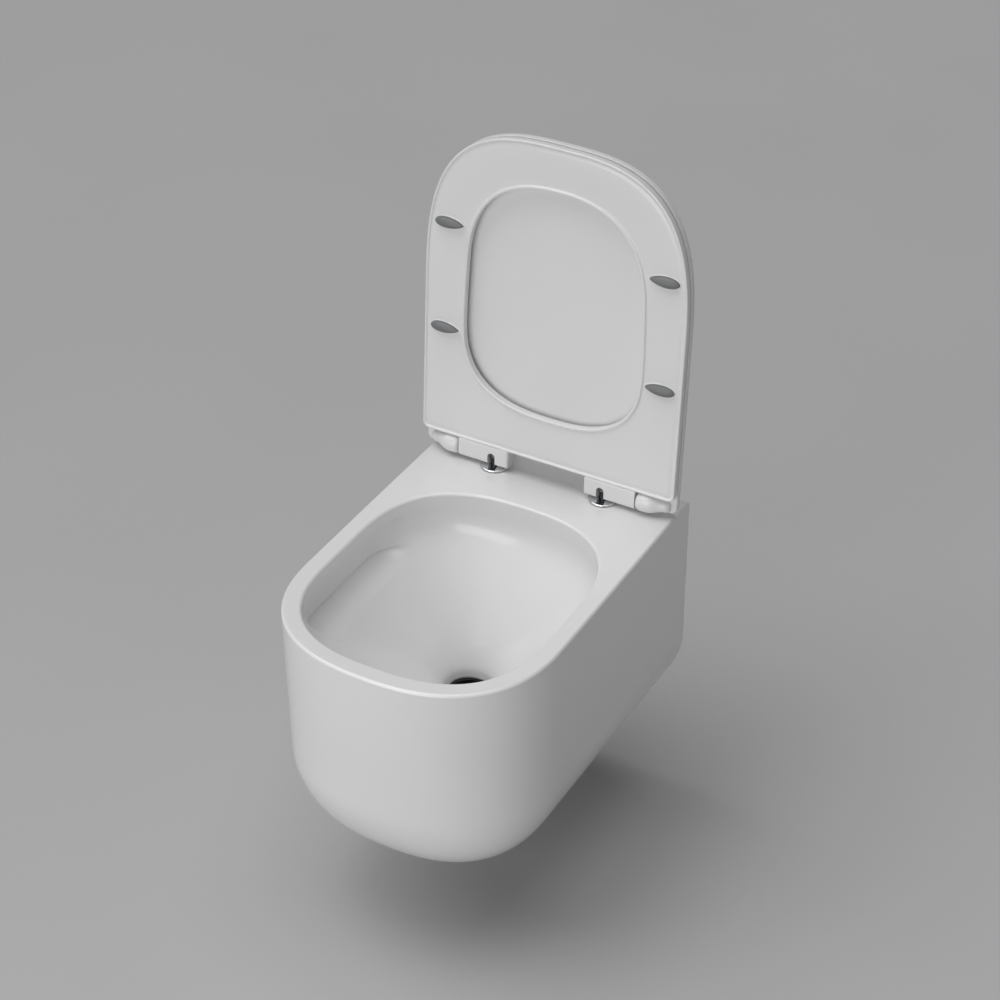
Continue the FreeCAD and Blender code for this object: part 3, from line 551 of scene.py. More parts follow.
def moulded_nylon():
    """Natural nylon, injection moulded: milky white, waxy, with faint flow marks."""
    material, tree, shader, place = new_material("moulded_nylon")
    flow = noise(tree, place, 14, 2.0)
    base = tint(tree, flow, from_hex("#CFCEC6"), from_hex("#DBDAD3"))
    tree.links.new(base, shader.inputs["Base Color"])
    grain = bump(tree, noise(tree, place, 0.7, 2.0), 0.01, 0.4)
    tree.links.new(grain, shader.inputs["Normal"])
    shader.inputs["Roughness"].default_value = 0.42
    shader.inputs["IOR"].default_value = 1.53
    return material


def cast_zinc():
    """Die cast zinc alloy, left as it left the tool: dull blue grey with a cast skin."""
    material, tree, shader, place = new_material("cast_zinc_alloy")
    patches = noise(tree, place, 5, 3.0)
    base = tint(tree, patches, from_hex("#8E9093"), from_hex("#A3A4A6"))
    tree.links.new(base, shader.inputs["Base Color"])
    rough = bump(tree, noise(tree, place, 0.9, 3.0), 0.03, 0.6)
    tree.links.new(rough, shader.inputs["Normal"])
    shader.inputs["Metallic"].default_value = 1.0
    shader.inputs["Roughness"].default_value = 0.46
    return material


def finishes():
    """Every finish of the object, made once."""
    sizes = bpy.context.scene
    if "glazed_vitreous_china" not in bpy.data.materials:
        glazed_china(tuple(sizes.toilet_pan.glaze))
        moulded_shell(tuple(sizes.toilet_seat.shell))
        moulded_rubber("buffer_rubber_grey", tuple(sizes.toilet_seat.buffer), 0.5)
        moulded_rubber("seal_rubber_black", from_hex("#1D1D1E"), 0.6)
        chrome_plate(tuple(sizes.toilet_hinge.plating))
        post_plate_painted_shade()
        turned_steel()
        moulded_nylon()
        cast_zinc()
    return bpy.data.materials


# ---- pan ------------------------------------------------------------------------------------
# Millimetres throughout: out is the distance from the wall face, depths are below the rim.

NOSE_EXPONENT = 2.38
SIDE_DRAFT = 0.012
FRONT_DRAFT = 0.035
PAN_CENTRE = 295.0
DECK_ROUND = 8.0
BAND = 20.0
SHOULDER = 30.0
GROOVE_FOOT = 57.0
GROOVE_SLOPE = 50.0 / 29.0
GROOVE_RUN_OUT = 50.0                           # below the groove's foot, where its slope has ended
GROOVE_BACK = 192.0
GROOVE_FRONT = 398.0
GROOVE_ABEAM = 140.0                            # from the middle to the groove's ends
GROOVE_SOFT = 1.2                               # round where the groove meets the bowl
UNDERCUT = 6.0
UNDERCUT_END = 61.0                             # depth where the undercut starts to fade, over
UNDERCUT_FADE = 9.0
SUMP_RADIUS = 29.0
SUMP_CENTRE = 255.0
THROAT_REACH = 60.0                             # painted shade in the throat: its reach round the trap's axis, and down it
THROAT_DEPTH = 90.0
SUMP_LIP = 2.5
SUMP_LIP_TAPER = 0.975
BOWL_EXPONENT = 2.6
BOWL_BACK_SHARE = 0.41                          # share of the bowl's run that curves at each end
BOWL_FRONT_SHARE = 0.40
BOWL_WALL = 10.0
WALL = 11.0
BACK_WALL = 13.0
TRAP_RADIUS = 28.0
TRAP_WALL = 8.0
TRAP_START = 187.0
TRAP_FLOOR = 248.0
TRAP_HEEL = 188.0
TRAP_CREST = (125.0, 97.0)
TRAP_BEND = 40.0
DRAIN_SPIGOT = {"radius": 51.0, "bore": 45.0, "root": 68.0, "face": 8.0, "window": 72.0}
DRAIN_RUN = (73.0, 47.0)                        # the trap's level end, out from the wall
OUTLET_DROP = 100.0
INLET_RISE = 35.0
INLET = {"boss": 36.5, "boss_end": 103.0, "seal_bore": 27.5, "seal_end": 50.0, "bore": 22.0,
         "bore_end": 99.0}
FIXING = {"boss": 22.0, "boss_end": 45.0, "bore": 13.0, "bore_end": 46.0}
CLAMP_SCREW_HOLE = {"radius": 9.0, "out": 56.0, "top": -80.0}
STUD_HOLE = {"radius": 7.5, "depth": 20.0}
DECK_END = 73.0
DECK_THICKNESS = 14.0
BRIDGE = {"half_width": 167.0, "start": 72.5, "end": 125.0, "depth": 65.0}
BOWL_PROFILE = [
    (0.0, 1.0), (0.062, 0.985), (0.123, 0.950), (0.185, 0.890), (0.259, 0.800), (0.346, 0.690),
    (0.444, 0.565), (0.543, 0.440), (0.636, 0.325), (0.722, 0.220), (0.796, 0.140),
    (0.864, 0.075), (0.932, 0.025), (1.0, 0.0),
]


def pan_ring(sizes, directions, depth, inset, back):
    """Ring on the pan's outside at a depth below the rim, drawn in by inset."""
    nose = sizes.nose_start * 1000
    half = sizes.half_width * 1000 - SIDE_DRAFT * depth - inset
    half_back = sizes.back_half_width * 1000 - inset
    reach = sizes.projection * 1000 - FRONT_DRAFT * depth - nose - inset

    def limit(out):
        return half - (half - half_back) * (1 - np.clip(out / nose, 0, 1)) ** 2

    def inside(x, out):
        forward = np.maximum(out - nose, 0) / reach
        rounded = (np.abs(x) / half) ** NOSE_EXPONENT + forward ** NOSE_EXPONENT <= 1
        return (out >= back) & np.where(out > nose, rounded, np.abs(x) <= limit(out))

    stretch = (limit(back) / (sizes.back_half_width * 1000), (PAN_CENTRE - back) / PAN_CENTRE)
    scaled = directions * stretch
    return ring_at(ray_lengths(inside, PAN_CENTRE, scaled), PAN_CENTRE, scaled, PAN_TOP - depth)


def pan_skin_rings(sizes, directions, inset, back, top):
    """Rings down the sides and round the belly."""
    belly_start = (sizes.height - sizes.belly) * 1000
    radius = sizes.belly * 1000 - inset
    rings = []
    for depth in np.linspace(top, belly_start, 16)[:-1]:
        rings.append(pan_ring(sizes, directions, depth, inset, back))
    for angle in np.radians(np.linspace(0, 90, 31)):
        drawn_in = inset + radius * (1 - math.cos(angle))
        depth = belly_start + radius * math.sin(angle)
        rings.append(pan_ring(sizes, directions, depth, drawn_in, back))
    return rings


def bowl_ring(sizes, directions, depth, grow=0.0):
    """Ring on the bowl, with the flushing groove cut outwards under the band."""
    sump_depth = sizes.sump_depth * 1000
    down = np.clip((depth - SHOULDER) / (sump_depth - SHOULDER), 0, 1)
    left = smooth_curve(*zip(*BOWL_PROFILE), down) if down > 0 else 1.0
    centre = SUMP_CENTRE + (PAN_CENTRE - SUMP_CENTRE) * left
    exponent = 2 + left * (BOWL_EXPONENT - 2)

    def section(half, back, front, power):
        back_reach = BOWL_BACK_SHARE * (front - back)
        front_reach = BOWL_FRONT_SHARE * (front - back)

        def inside(x, out):
            rear = np.maximum(back + back_reach - out, 0) / back_reach
            nose = np.maximum(out - front + front_reach, 0) / front_reach
            return (np.abs(x) / half) ** power + rear ** power + nose ** power <= 1
        return ray_lengths(inside, centre, directions)

    mouth_half = sizes.bowl_half_width * 1000
    mouth_back, mouth_front = sizes.bowl_back * 1000, sizes.bowl_front * 1000
    half = SUMP_RADIUS + left * (mouth_half - SUMP_RADIUS)
    back = SUMP_CENTRE - SUMP_RADIUS - left * (SUMP_CENTRE - SUMP_RADIUS - mouth_back)
    front = SUMP_CENTRE + SUMP_RADIUS + left * (mouth_front - SUMP_CENTRE - SUMP_RADIUS)
    lengths = section(half + grow, back - grow, front + grow, exponent)
    if BAND - 2 < depth < GROOVE_FOOT + GROOVE_RUN_OUT:
        cut = sizes.groove * 1000 - max(0.0, depth - GROOVE_FOOT) * GROOVE_SLOPE + grow
        undercut = eased((depth - GROOVE_FOOT + 0.5) / 3)
        undercut = undercut - eased((depth - UNDERCUT_END) / UNDERCUT_FADE)
        cut += UNDERCUT * float(undercut)
        wall = section(mouth_half + cut, mouth_back - cut, mouth_front + cut, BOWL_EXPONENT)
        gap = np.sqrt((wall - lengths) ** 2 + GROOVE_SOFT ** 2)
        deeper = (lengths + wall + gap) / 2 - lengths
        deeper = np.maximum(deeper - GROOVE_SOFT / 2, 0)
        sideways = np.maximum(np.abs(directions[:, 0]), 1e-6)
        out = PAN_CENTRE + GROOVE_ABEAM * directions[:, 1] / sideways
        span = eased((out - GROOVE_BACK + 25) / 75) * (1 - eased((out - GROOVE_FRONT + 2) / 4))
        lengths = lengths + deeper * span * eased((depth - BAND + 1) / 3.0)
    return ring_at(lengths, centre, directions, PAN_TOP - depth)


def bowl_rings(sizes, directions, grow, start):
    """Rings from the band down to the mouth of the trap, close together at edges."""
    sump = sizes.sump_depth * 1000
    depths = [start]
    for first, last, step in ((start + 3, BAND - 1.5, 4.0), (BAND - 1, BAND + 3, 0.5),
                              (BAND + 4, GROOVE_FOOT - 3, 3.0),
                              (GROOVE_FOOT - 2, GROOVE_FOOT + 5, 0.75),
                              (GROOVE_FOOT + 6, sump - 12, 2.5)):
        depths += list(np.arange(first, last, step))
    depths += list(np.linspace(sump - 11, sump, 10))
    kept = sorted(depth for depth in depths if depth >= start)
    return [bowl_ring(sizes, directions, depth, grow) for depth in kept]


def trap_route():
    """Centre line of the trap, as (out, depth below the rim), in runs and bends."""
    outlet = PAN_TOP + OUTLET_DROP + DRAIN_SPIGOT["bore"] - TRAP_RADIUS - 4
    corners = [(SUMP_CENTRE, TRAP_START), (SUMP_CENTRE, TRAP_FLOOR), (TRAP_HEEL, TRAP_FLOOR),
               TRAP_CREST, (DRAIN_RUN[0], outlet), (DRAIN_RUN[1], outlet)]
    corners = [np.array(corner, float) for corner in corners]
    points = [corners[0]]
    for before, corner, after in zip(corners, corners[1:], corners[2:]):
        arrive = (corner - before) / np.linalg.norm(corner - before)
        leave = (after - corner) / np.linalg.norm(after - corner)
        half = math.acos(float(np.clip(arrive @ leave, -1, 1))) / 2
        trim = TRAP_BEND * math.tan(half)
        inward = (leave - arrive) / np.linalg.norm(leave - arrive)
        middle = corner + inward * TRAP_BEND / math.cos(half)
        first, last = corner - arrive * trim - middle, corner + leave * trim - middle
        for share in np.linspace(0, 1, 13):
            between = first * (1 - share) + last * share
            points.append(middle + between / np.linalg.norm(between) * TRAP_BEND)
    return points + [corners[-1]]


def trap_tube(radius, segments=64):
    """Round tube along the trap."""
    route = trap_route()
    rings = []
    for i, here in enumerate(route):
        ahead = route[min(i + 1, len(route) - 1)] - route[max(i - 1, 0)]
        ahead = ahead / np.linalg.norm(ahead)
        across = np.array([-ahead[1], ahead[0]])
        ring = []
        for k in range(segments):
            angle = 2 * math.pi * k / segments
            out, depth = here + across * radius * math.cos(angle)
            ring.append((radius * math.sin(angle), -out, PAN_TOP - depth))
        rings.append(ring)
    return skin("trap", rings)


def level_rod(x, height, radius, start, end):
    """Round bar square to the wall, from one distance out to another."""
    return rod((x, -start, height), (x, -end, height), radius)


def pan_hollow(sizes, directions):
    """The space inside the china, with the solid china around each passage left standing."""
    core_top = GROOVE_FOOT + WALL / 2
    core = skin("core", pan_skin_rings(sizes, directions, WALL, BACK_WALL, core_top))
    deck_half = sizes.back_half_width * 1000 - WALL - 2
    under_deck = block(-deck_half, deck_half, BACK_WALL, DECK_END, PAN_TOP - core_top - 5,
                       PAN_TOP - DECK_THICKNESS)
    combine(core, [under_deck], "UNION")
    filled = [
        skin("shell", bowl_rings(sizes, directions, BOWL_WALL, SHOULDER + 2)),
        trap_tube(TRAP_RADIUS + TRAP_WALL),
        level_rod(0, -OUTLET_DROP, DRAIN_SPIGOT["radius"], 7, DRAIN_SPIGOT["root"]),
        level_rod(0, INLET_RISE, INLET["boss"], 5, INLET["boss_end"]),
        block(-BRIDGE["half_width"], BRIDGE["half_width"], BRIDGE["start"], BRIDGE["end"],
              PAN_TOP - BRIDGE["depth"], PAN_TOP + 1),
    ]
    for side in (-1, 1):
        bolt_x = side * BOLT_SPACING / 2
        filled.append(level_rod(bolt_x, 0, FIXING["boss"], 5, FIXING["boss_end"]))
    return combine(core, filled, "DIFFERENCE")


def pan_openings(sizes, hinge):
    """Everything that is cut into the china from outside."""
    cuts = [
        trap_tube(TRAP_RADIUS),
        level_rod(0, -OUTLET_DROP, DRAIN_SPIGOT["bore"], -1, 60),
        level_rod(0, INLET_RISE, INLET["seal_bore"], -1, INLET["seal_end"]),
        level_rod(0, INLET_RISE, INLET["bore"], INLET["seal_end"] - 1, INLET["bore_end"]),
    ]
    window = level_rod(0, -OUTLET_DROP, DRAIN_SPIGOT["window"], -1, BACK_WALL + 0.5)
    spigot = level_rod(0, -OUTLET_DROP, DRAIN_SPIGOT["radius"], DRAIN_SPIGOT["face"], 30)
    cuts.append(combine(window, [spigot], "DIFFERENCE"))
    underside = PAN_TOP - sizes.height * 1000
    clamp, stud = CLAMP_SCREW_HOLE, STUD_HOLE
    for side in (-1, 1):
        bolt_x, hinge_x = side * BOLT_SPACING / 2, side * hinge.spacing * 500
        cuts.append(level_rod(bolt_x, 0, FIXING["bore"], -1, FIXING["bore_end"]))
        cuts.append(rod((bolt_x, -clamp["out"], underside - 1),
                        (bolt_x, -clamp["out"], clamp["top"]), clamp["radius"]))
        cuts.append(rod((hinge_x, -HINGE_OUT, PAN_TOP - stud["depth"]),
                        (hinge_x, -HINGE_OUT, PAN_TOP + 1), stud["radius"]))
    return cuts


class TOILET_OT_pan(bpy.types.Operator):
    """The china pan: outside, rim, bowl, flushing groove, trap and hollow back"""
    bl_idname = "toilet.pan"
    bl_label = "Pan"

    def execute(self, context):
        sizes, hinge = context.scene.toilet_pan, context.scene.toilet_hinge
        corner = math.degrees(math.atan2(PAN_CENTRE, sizes.back_half_width * 1000))
        corners = (corner, 180 - corner)
        ends = []
        for out in (GROOVE_BACK, GROOVE_FRONT):
            angle = math.degrees(math.atan2(PAN_CENTRE - out, GROOVE_ABEAM))
            ends += [(angle, 4, 0.35), (180 - angle, 4, 0.35)]
        directions = directions_of(ray_angles(1.25, ends, corners))
        trap_mouth = bowl_ring(sizes, directions, sizes.sump_depth * 1000)
        trap_mouth[:, 0] *= SUMP_LIP_TAPER
        trap_mouth[:, 1] = -SUMP_CENTRE + (trap_mouth[:, 1] + SUMP_CENTRE) * SUMP_LIP_TAPER
        trap_mouth[:, 2] -= SUMP_LIP
        rings = [trap_mouth] + bowl_rings(sizes, directions, 0.0, sizes.mouth_round * 1000)[::-1]
        flare = quarter_round(sizes.mouth_round * 1000)
        for inset, drop in reversed(flare[:-1]):
            rings.append(bowl_ring(sizes, directions, drop, inset))
        edge = quarter_round(sizes.rim_round * 1000, 10)
        depths = [drop for _, drop in edge] + [5.0, 6.0, 7.0]
        insets = [inset for inset, _ in edge] + [0.0, 0.0, 0.0]
        for depth, inset in zip(depths, insets):
            back = DECK_ROUND - math.sqrt(DECK_ROUND ** 2 - (DECK_ROUND - depth) ** 2)
            rings.append(pan_ring(sizes, directions, depth, inset, back))
        rings += pan_skin_rings(sizes, directions, 0.0, 0.0, DECK_ROUND)
        pan = skin("pan_body", rings)
        hollow = pan_hollow(sizes, directions_of(ray_angles(3.0, (), corners)))
        combine(pan, [hollow] + pan_openings(sizes, hinge), "DIFFERENCE")
        finish_shading(pan)
        settle(pan, "china_pan", finishes()["glazed_vitreous_china"], "pan_body",
               "glazed_china", "pan")
        return {"FINISHED"}


# ---- seat -----------------------------------------------------------------------------------

SEAT_NOSE_START = 272.8
SEAT_EXPONENT = 3.0
SEAT_CORNER = 9.0
SEAT_CENTRE = 281.0
TOP_EDGE = 5.0
LOWER_EDGE = 1.5
OPENING = {"half": 121.8, "back": 127.8, "widest": 232.8, "nose_half": 118.0,
           "nose_start": 313.8, "front": 436.8}
OUTER_BEAD = [(-0.5, 0.05), (0.0, 0.3), (0.5, 0.8), (1.0, 1.4), (1.5, 1.8), (2.2, 1.95),
              (3.2, 1.85), (4.5, 1.55), (6.0, 1.2), (8.0, 1.0)]   # (past the bead, rise)
INNER_BEAD = [(8.0, 1.9), (6.4, 2.0), (5.2, 1.95), (4.6, 1.75), (4.1, 1.3), (3.7, 0.75),
              (3.3, 0.3), (2.9, 0.08), (2.4, 0.0), (1.9, 0.0)]    # (from the hole, rise)
BARREL_INNER = 54.0
BARREL_OUTER = 125.0
PIN_BORE = {"radius": 4.05, "inner": 59.0, "outer": 86.0}
DAMPER_BORE = {"radius": 8.0, "inner": 85.0, "outer": BARREL_OUTER + 1}
SLOT_GAP = 0.3
SLOT_BACK = 10.0
POCKET_RADIUS = 7.3
SEAT_BUFFERS = [(145.4, 361.2), (148.7, 216.7)]
LID_BUFFERS = [(150.0, 150.0), (128.0, 400.0)]
LID_BUFFER_RADIUS = 7.0
BUFFER_LENGTH = 39.0
BUFFER_HALF_WIDTH = 6.8


def panel_lengths(directions, half, back, front, inset):
    """Ray lengths to the outline of the seat or lid, drawn in by inset."""
    half, back, front = half - inset, back + inset, front - inset
    corner = max(SEAT_CORNER - inset, 0.5)

    def inside(x, out):
        x = np.abs(x)
        forward = np.maximum(out - SEAT_NOSE_START, 0) / (front - SEAT_NOSE_START)
        rounded = (x / half) ** SEAT_EXPONENT + forward ** SEAT_EXPONENT <= 1
        sideways = np.maximum(x - half + corner, 0)
        rearward = np.maximum(back + corner - out, 0)
        in_corner = sideways ** 2 + rearward ** 2 <= corner ** 2
        return np.where(out > SEAT_NOSE_START, rounded, in_corner & (x <= half) & (out >= back))
    return ray_lengths(inside, SEAT_CENTRE, directions)


def opening_lengths(directions, grow):
    """Ray lengths to the outline of the hole in the seat, made larger by grow."""
    half, nose_half = OPENING["half"] + grow, OPENING["nose_half"] + grow
    widest, nose_start = OPENING["widest"], OPENING["nose_start"]
    back_reach = widest - OPENING["back"] + grow
    nose_reach = OPENING["front"] - nose_start + grow

    def inside(x, out):
        x = np.abs(x)
        rear = (x / half) ** 2.6 + (np.maximum(widest - out, 0) / back_reach) ** 2.6 <= 1
        width = half + (nose_half - half) * eased((out - widest) / 140)
        nose = (x / width) ** 2.4 + (np.maximum(out - nose_start, 0) / nose_reach) ** 2.4 <= 1
        return np.where(out < widest, rear, nose)
    return ray_lengths(inside, SEAT_CENTRE, directions)


def seat_angles(back, half):
    """Ray angles that crowd in the rear corners."""
    corner = math.degrees(math.atan2(SEAT_CENTRE - back, half))
    return ray_angles(1.25, [(corner, 3.5, 0.15), (180 - corner, 3.5, 0.15)])


def seat_annulus(sizes):
    """The closed seat without its barrels: a band with a beaded, dished underside."""
    low = PAN_TOP + sizes.lift * 1000
    high = low + sizes.thickness * 1000
    half, back, front = sizes.half_width * 1000, sizes.seat_back * 1000, sizes.seat_front * 1000
    bead = sizes.bead * 1000
    directions = directions_of(seat_angles(back, half))

    def outer(inset, height):
        lengths = panel_lengths(directions, half, back, front, inset)
        return ring_at(lengths, SEAT_CENTRE, directions, height)

    def inner(grow, height):
        return ring_at(opening_lengths(directions, grow), SEAT_CENTRE, directions, height)

    def across(outset, ingrow, share, height):
        a = panel_lengths(directions, half, back, front, outset)
        b = opening_lengths(directions, ingrow)
        return ring_at(a * (1 - share) + b * share, SEAT_CENTRE, directions, height)

    rings = []
    for inset, drop in quarter_round(TOP_EDGE):
        rings.append(outer(inset, high - drop))
    rings.append(outer(0, (low + high) / 2))
    for inset, drop in reversed(quarter_round(LOWER_EDGE, 5)):
        rings.append(outer(inset, low + drop))
    for past, rise in OUTER_BEAD:
        rings.append(outer(bead + past, low + rise))
    for share in (0.15, 0.35, 0.55, 0.7, 0.82, 0.92):
        dish = 1.0 + 0.9 * eased((share - 0.3) / 0.7)
        rings.append(across(bead + 8, 8.0, share, low + dish))
    for grow, rise in INNER_BEAD:
        rings.append(inner(grow, low + rise))
    for inset, drop in quarter_round(LOWER_EDGE, 5):
        rings.append(inner(inset, low + drop))
    rings.append(inner(0, (low + high) / 2))
    for inset, drop in reversed(quarter_round(TOP_EDGE)):
        rings.append(inner(inset, high - drop))
    for share in (0.75, 0.5, 0.25):
        rings.append(across(TOP_EDGE, TOP_EDGE, share, high))
    return skin("seat", rings, closed=True)


def barrel_outline(sizes, hinge):
    """Section of a seat barrel: a flat face level with the seat's underside, round elsewhere."""
    low = PAN_TOP + sizes.lift * 1000
    high = low + sizes.thickness * 1000
    radius = hinge.barrel * 1000
    edge = sizes.seat_back * 1000
    points = [
        (edge + 13, high - 0.5), (edge + 13, low + 3), (edge + 1.3, low + 3),
        (edge - 0.2, low + 1.1), (edge - 0.9, low + 0.35), (edge - 1.8, low),
        (edge - 2.8, low - 0.15), (HINGE_OUT - 5.0, low - 0.15), (HINGE_OUT - 7.2, low + 0.1),
        (HINGE_OUT - 8.6, low + 0.45),
    ]
    first = math.acos((HINGE_HEIGHT - low - 0.95) / radius)
    last = 2 * math.pi - math.acos((HINGE_HEIGHT - high + 0.5) / radius)
    for angle in np.linspace(first, last, 48):
        points.append((HINGE_OUT - radius * math.sin(angle), HINGE_HEIGHT - radius * math.cos(angle)))
    return points


def slot_cutter(x, hinge):
    """Slot that lets a seat barrel swing past its post, and the pocket of the post's eye."""
    half = hinge.post * 1000 + SLOT_GAP
    plan = [(x - half, SLOT_BACK), (x + half, SLOT_BACK)]
    for angle in np.linspace(0, math.pi, 25):
        plan.append((x + half * math.cos(angle), HINGE_OUT + half * math.sin(angle)))
    lower = skin("slot", [[(px, -out, z) for px, out in plan]
                          for z in (HINGE_HEIGHT - 40, HINGE_HEIGHT + 0.01)])
    upper = block(x - half, x + half, SLOT_BACK, HINGE_OUT, HINGE_HEIGHT - 1,
                  HINGE_HEIGHT + half)
    pocket = rod((x - half, -HINGE_OUT, HINGE_HEIGHT), (x + half, -HINGE_OUT, HINGE_HEIGHT),
                 POCKET_RADIUS)
    return [lower, upper, pocket]


def hinge_bore(side, radius, inner, outer):
    """Bar along the hinge line between two distances from the middle."""
    return rod((side * inner, -HINGE_OUT, HINGE_HEIGHT), (side * outer, -HINGE_OUT, HINGE_HEIGHT),
               radius)


def drop_outline(grow=0.0, scale=1.0, count=30):
    """Outline of a seat buffer: blunt at +X, drawn out to a small round at -X."""
    half_length, half_width = BUFFER_LENGTH / 2, BUFFER_HALF_WIDTH
    along = scale * (half_length + grow)
    across = scale * (half_width + grow) * 2.283
    points = []
    for step in range(2 * count):
        turn = math.pi * step / count
        share = (1 - math.cos(turn)) / 2
        width = across * share ** 0.5 * max(1 - share, 0) ** 0.72
        points.append((along * math.cos(turn), width if step < count else -width))
    return points


def buffer_collar(side, across, out, low):
    """Thin raised lip of the seat round the foot of a buffer."""
    rings = []
    for grow, rise in ((0.1, 3.0), (0.1, 0.62), (0.35, 0.42), (0.75, 0.36), (1.15, 0.5),
                       (1.5, 0.9), (1.9, 3.0)):
        rings.append([(side * (across + x), -out + side * y, low + rise)
                      for x, y in drop_outline(grow)])
    return skin("collar", rings, closed=True)


class TOILET_OT_seat(bpy.types.Operator):
    """The seat with its hinge barrels, beaded underside and buffer collars"""
    bl_idname = "toilet.seat"
    bl_label = "Seat"

    def execute(self, context):
        sizes, hinge = context.scene.toilet_seat, context.scene.toilet_hinge
        seat = seat_annulus(sizes)
        outline = barrel_outline(sizes, hinge)
        added = [extruded(outline, side * BARREL_INNER, side * BARREL_OUTER, 3.2, 0.6)
                 for side in (-1, 1)]
        low = PAN_TOP + sizes.lift * 1000
        for across, out in SEAT_BUFFERS:
            added += [buffer_collar(side, across, out, low) for side in (-1, 1)]
        combine(seat, added, "UNION")
        cuts = []
        for side in (-1, 1):
            cuts += slot_cutter(side * hinge.spacing * 500, hinge)
            cuts.append(hinge_bore(side, **PIN_BORE))
            cuts.append(hinge_bore(side, **DAMPER_BORE))
        combine(seat, cuts, "DIFFERENCE")
        finish_shading(seat, 30)
        turn_up(seat)
        settle(seat, "seat_shell", finishes()["moulded_urea_white"], "seat", "seat_white",
               "seat_ring")
        return {"FINISHED"}


class TOILET_OT_seat_buffers(bpy.types.Operator):
    """The four drop-shaped rubber buffers under the seat"""
    bl_idname = "toilet.seat_buffers"
    bl_label = "Seat buffers"

    def execute(self, context):
        sizes = context.scene.toilet_seat
        rubber = finishes()["buffer_rubber_grey"]
        lift = sizes.lift * 1000
        rings = []
        for turn in np.radians([3, 10, 20, 30, 40, 50, 60, 70, 80, 90]):
            height = 0.3 + (lift - 1.2) * (1 - math.cos(turn))
            rings.append([(x, y, height) for x, y in drop_outline(0.0, math.sin(turn))])
        rings.append([(x, y, lift + 1.2) for x, y in drop_outline()])
        buffer = skin("buffer", rings)
        rows = [(across / 1000, (0, -out / 1000, PAN_TOP / 1000)) for across, out in SEAT_BUFFERS]
        place_pairs(buffer, "seat_buffer_rows", rubber, rows)
        finish_shading(buffer, 50)
        turn_up(buffer)
        settle(buffer, "seat_buffers", rubber, "seat", "buffer_grey",
               *[f"seat_buffer_{row}_{side}" for row in ("front", "rear")
                 for side in ("left", "right")])
        return {"FINISHED"}


# ---- lid ------------------------------------------------------------------------------------

LID_GAP = 1.0                                   # between the closed lid and the seat
LID_BUFFER_GAP = 0.3
LUG_INNER = 126.3
LID_NOTCH = 71.3
LID_LIP = 6.0
LID_RECESS = 3.0
LID_LIP_EDGE = [(-1.2, 0.0), (-0.7, 0.1), (-0.2, 0.5), (0.0, 1.1), (0.3, 2.0), (0.8, 2.6),
                (1.6, 2.9), (3.0, LID_RECESS)]              # (past the lip, rise)
LUG_START = [(0.0, 4.2), (0.5, 2.7), (1.5, 1.5), (3.0, 0.6), (5.0, 0.1), (7.0, 0.0)]
LUG_FULL = 14.0                                 # from the lug's end to where its taper starts
LUG_TAPER = 24.0
LUG_SLIMMER = 5.4
LUG_LIFT = 3.0
LUG_TIP = [(166.0, 8.1), (167.4, 7.5), (168.6, 6.5), (169.5, 5.2)]
LUG_TIP_LIFT = 3.6
LUG_BORE = {"radius": 8.0, "inner": LUG_INNER - 1, "outer": 150.0}


def lid_slab(sizes):
    """The closed lid without its lugs: rounded above, dished behind a lip below."""
    low = PAN_TOP + (sizes.lift + sizes.thickness) * 1000 + LID_GAP
    high = low + sizes.lid_thickness * 1000
    half = (sizes.half_width - sizes.lid_set_in) * 1000
    back, front = sizes.lid_back * 1000, sizes.lid_front * 1000
    directions = directions_of(seat_angles(back, half))

    def outer(inset, height):
        lengths = panel_lengths(directions, half, back, front, inset)
        return ring_at(lengths, SEAT_CENTRE, directions, height)

    def recessed(ring, rise):
        ring[:, 2] += rise * eased((-ring[:, 1] - LID_NOTCH - 3) / 5)
        return ring

    rings = []
    for share in (0.25, 0.5, 0.75):
        lengths = panel_lengths(directions, half, back, front, TOP_EDGE) * share
        rings.append(ring_at(lengths, SEAT_CENTRE, directions, high))
    for inset, drop in quarter_round(TOP_EDGE):
        rings.append(outer(inset, high - drop))
    rings.append(outer(0, (low + high) / 2))
    for inset, drop in reversed(quarter_round(LOWER_EDGE, 5)):
        rings.append(outer(inset, low + drop))
    for past, rise in LID_LIP_EDGE:
        rings.append(recessed(outer(LID_LIP + past, low), rise))
    for share in (0.75, 0.5, 0.25):
        lengths = panel_lengths(directions, half, back, front, LID_LIP + 3) * share
        rings.append(recessed(ring_at(lengths, SEAT_CENTRE, directions, low), LID_RECESS))
    return skin("lid", rings), low, high


def lid_lug(side, high):
    """Lug on the hinge line: a rounded end at the seam, then a dip into the lid's corner."""
    big = high - HINGE_HEIGHT
    rings = [(LUG_INNER + past, big - smaller, HINGE_HEIGHT) for past, smaller in LUG_START]
    for share in np.linspace(0, 1, 15):
        ease = float(eased(share))
        rings.append((LUG_INNER + LUG_FULL + share * LUG_TAPER, big - LUG_SLIMMER * ease,
                      HINGE_HEIGHT + LUG_LIFT * ease))
    rings += [(x, radius, HINGE_HEIGHT + LUG_TIP_LIFT) for x, radius in LUG_TIP]
    circles = []
    for x, radius, height in rings:
        angles = np.linspace(0, 2 * math.pi, 97)[:-1]
        circles.append([(side * x, -HINGE_OUT + radius * math.cos(a), height + radius * math.sin(a))
                        for a in angles])
    return skin("lug", circles)


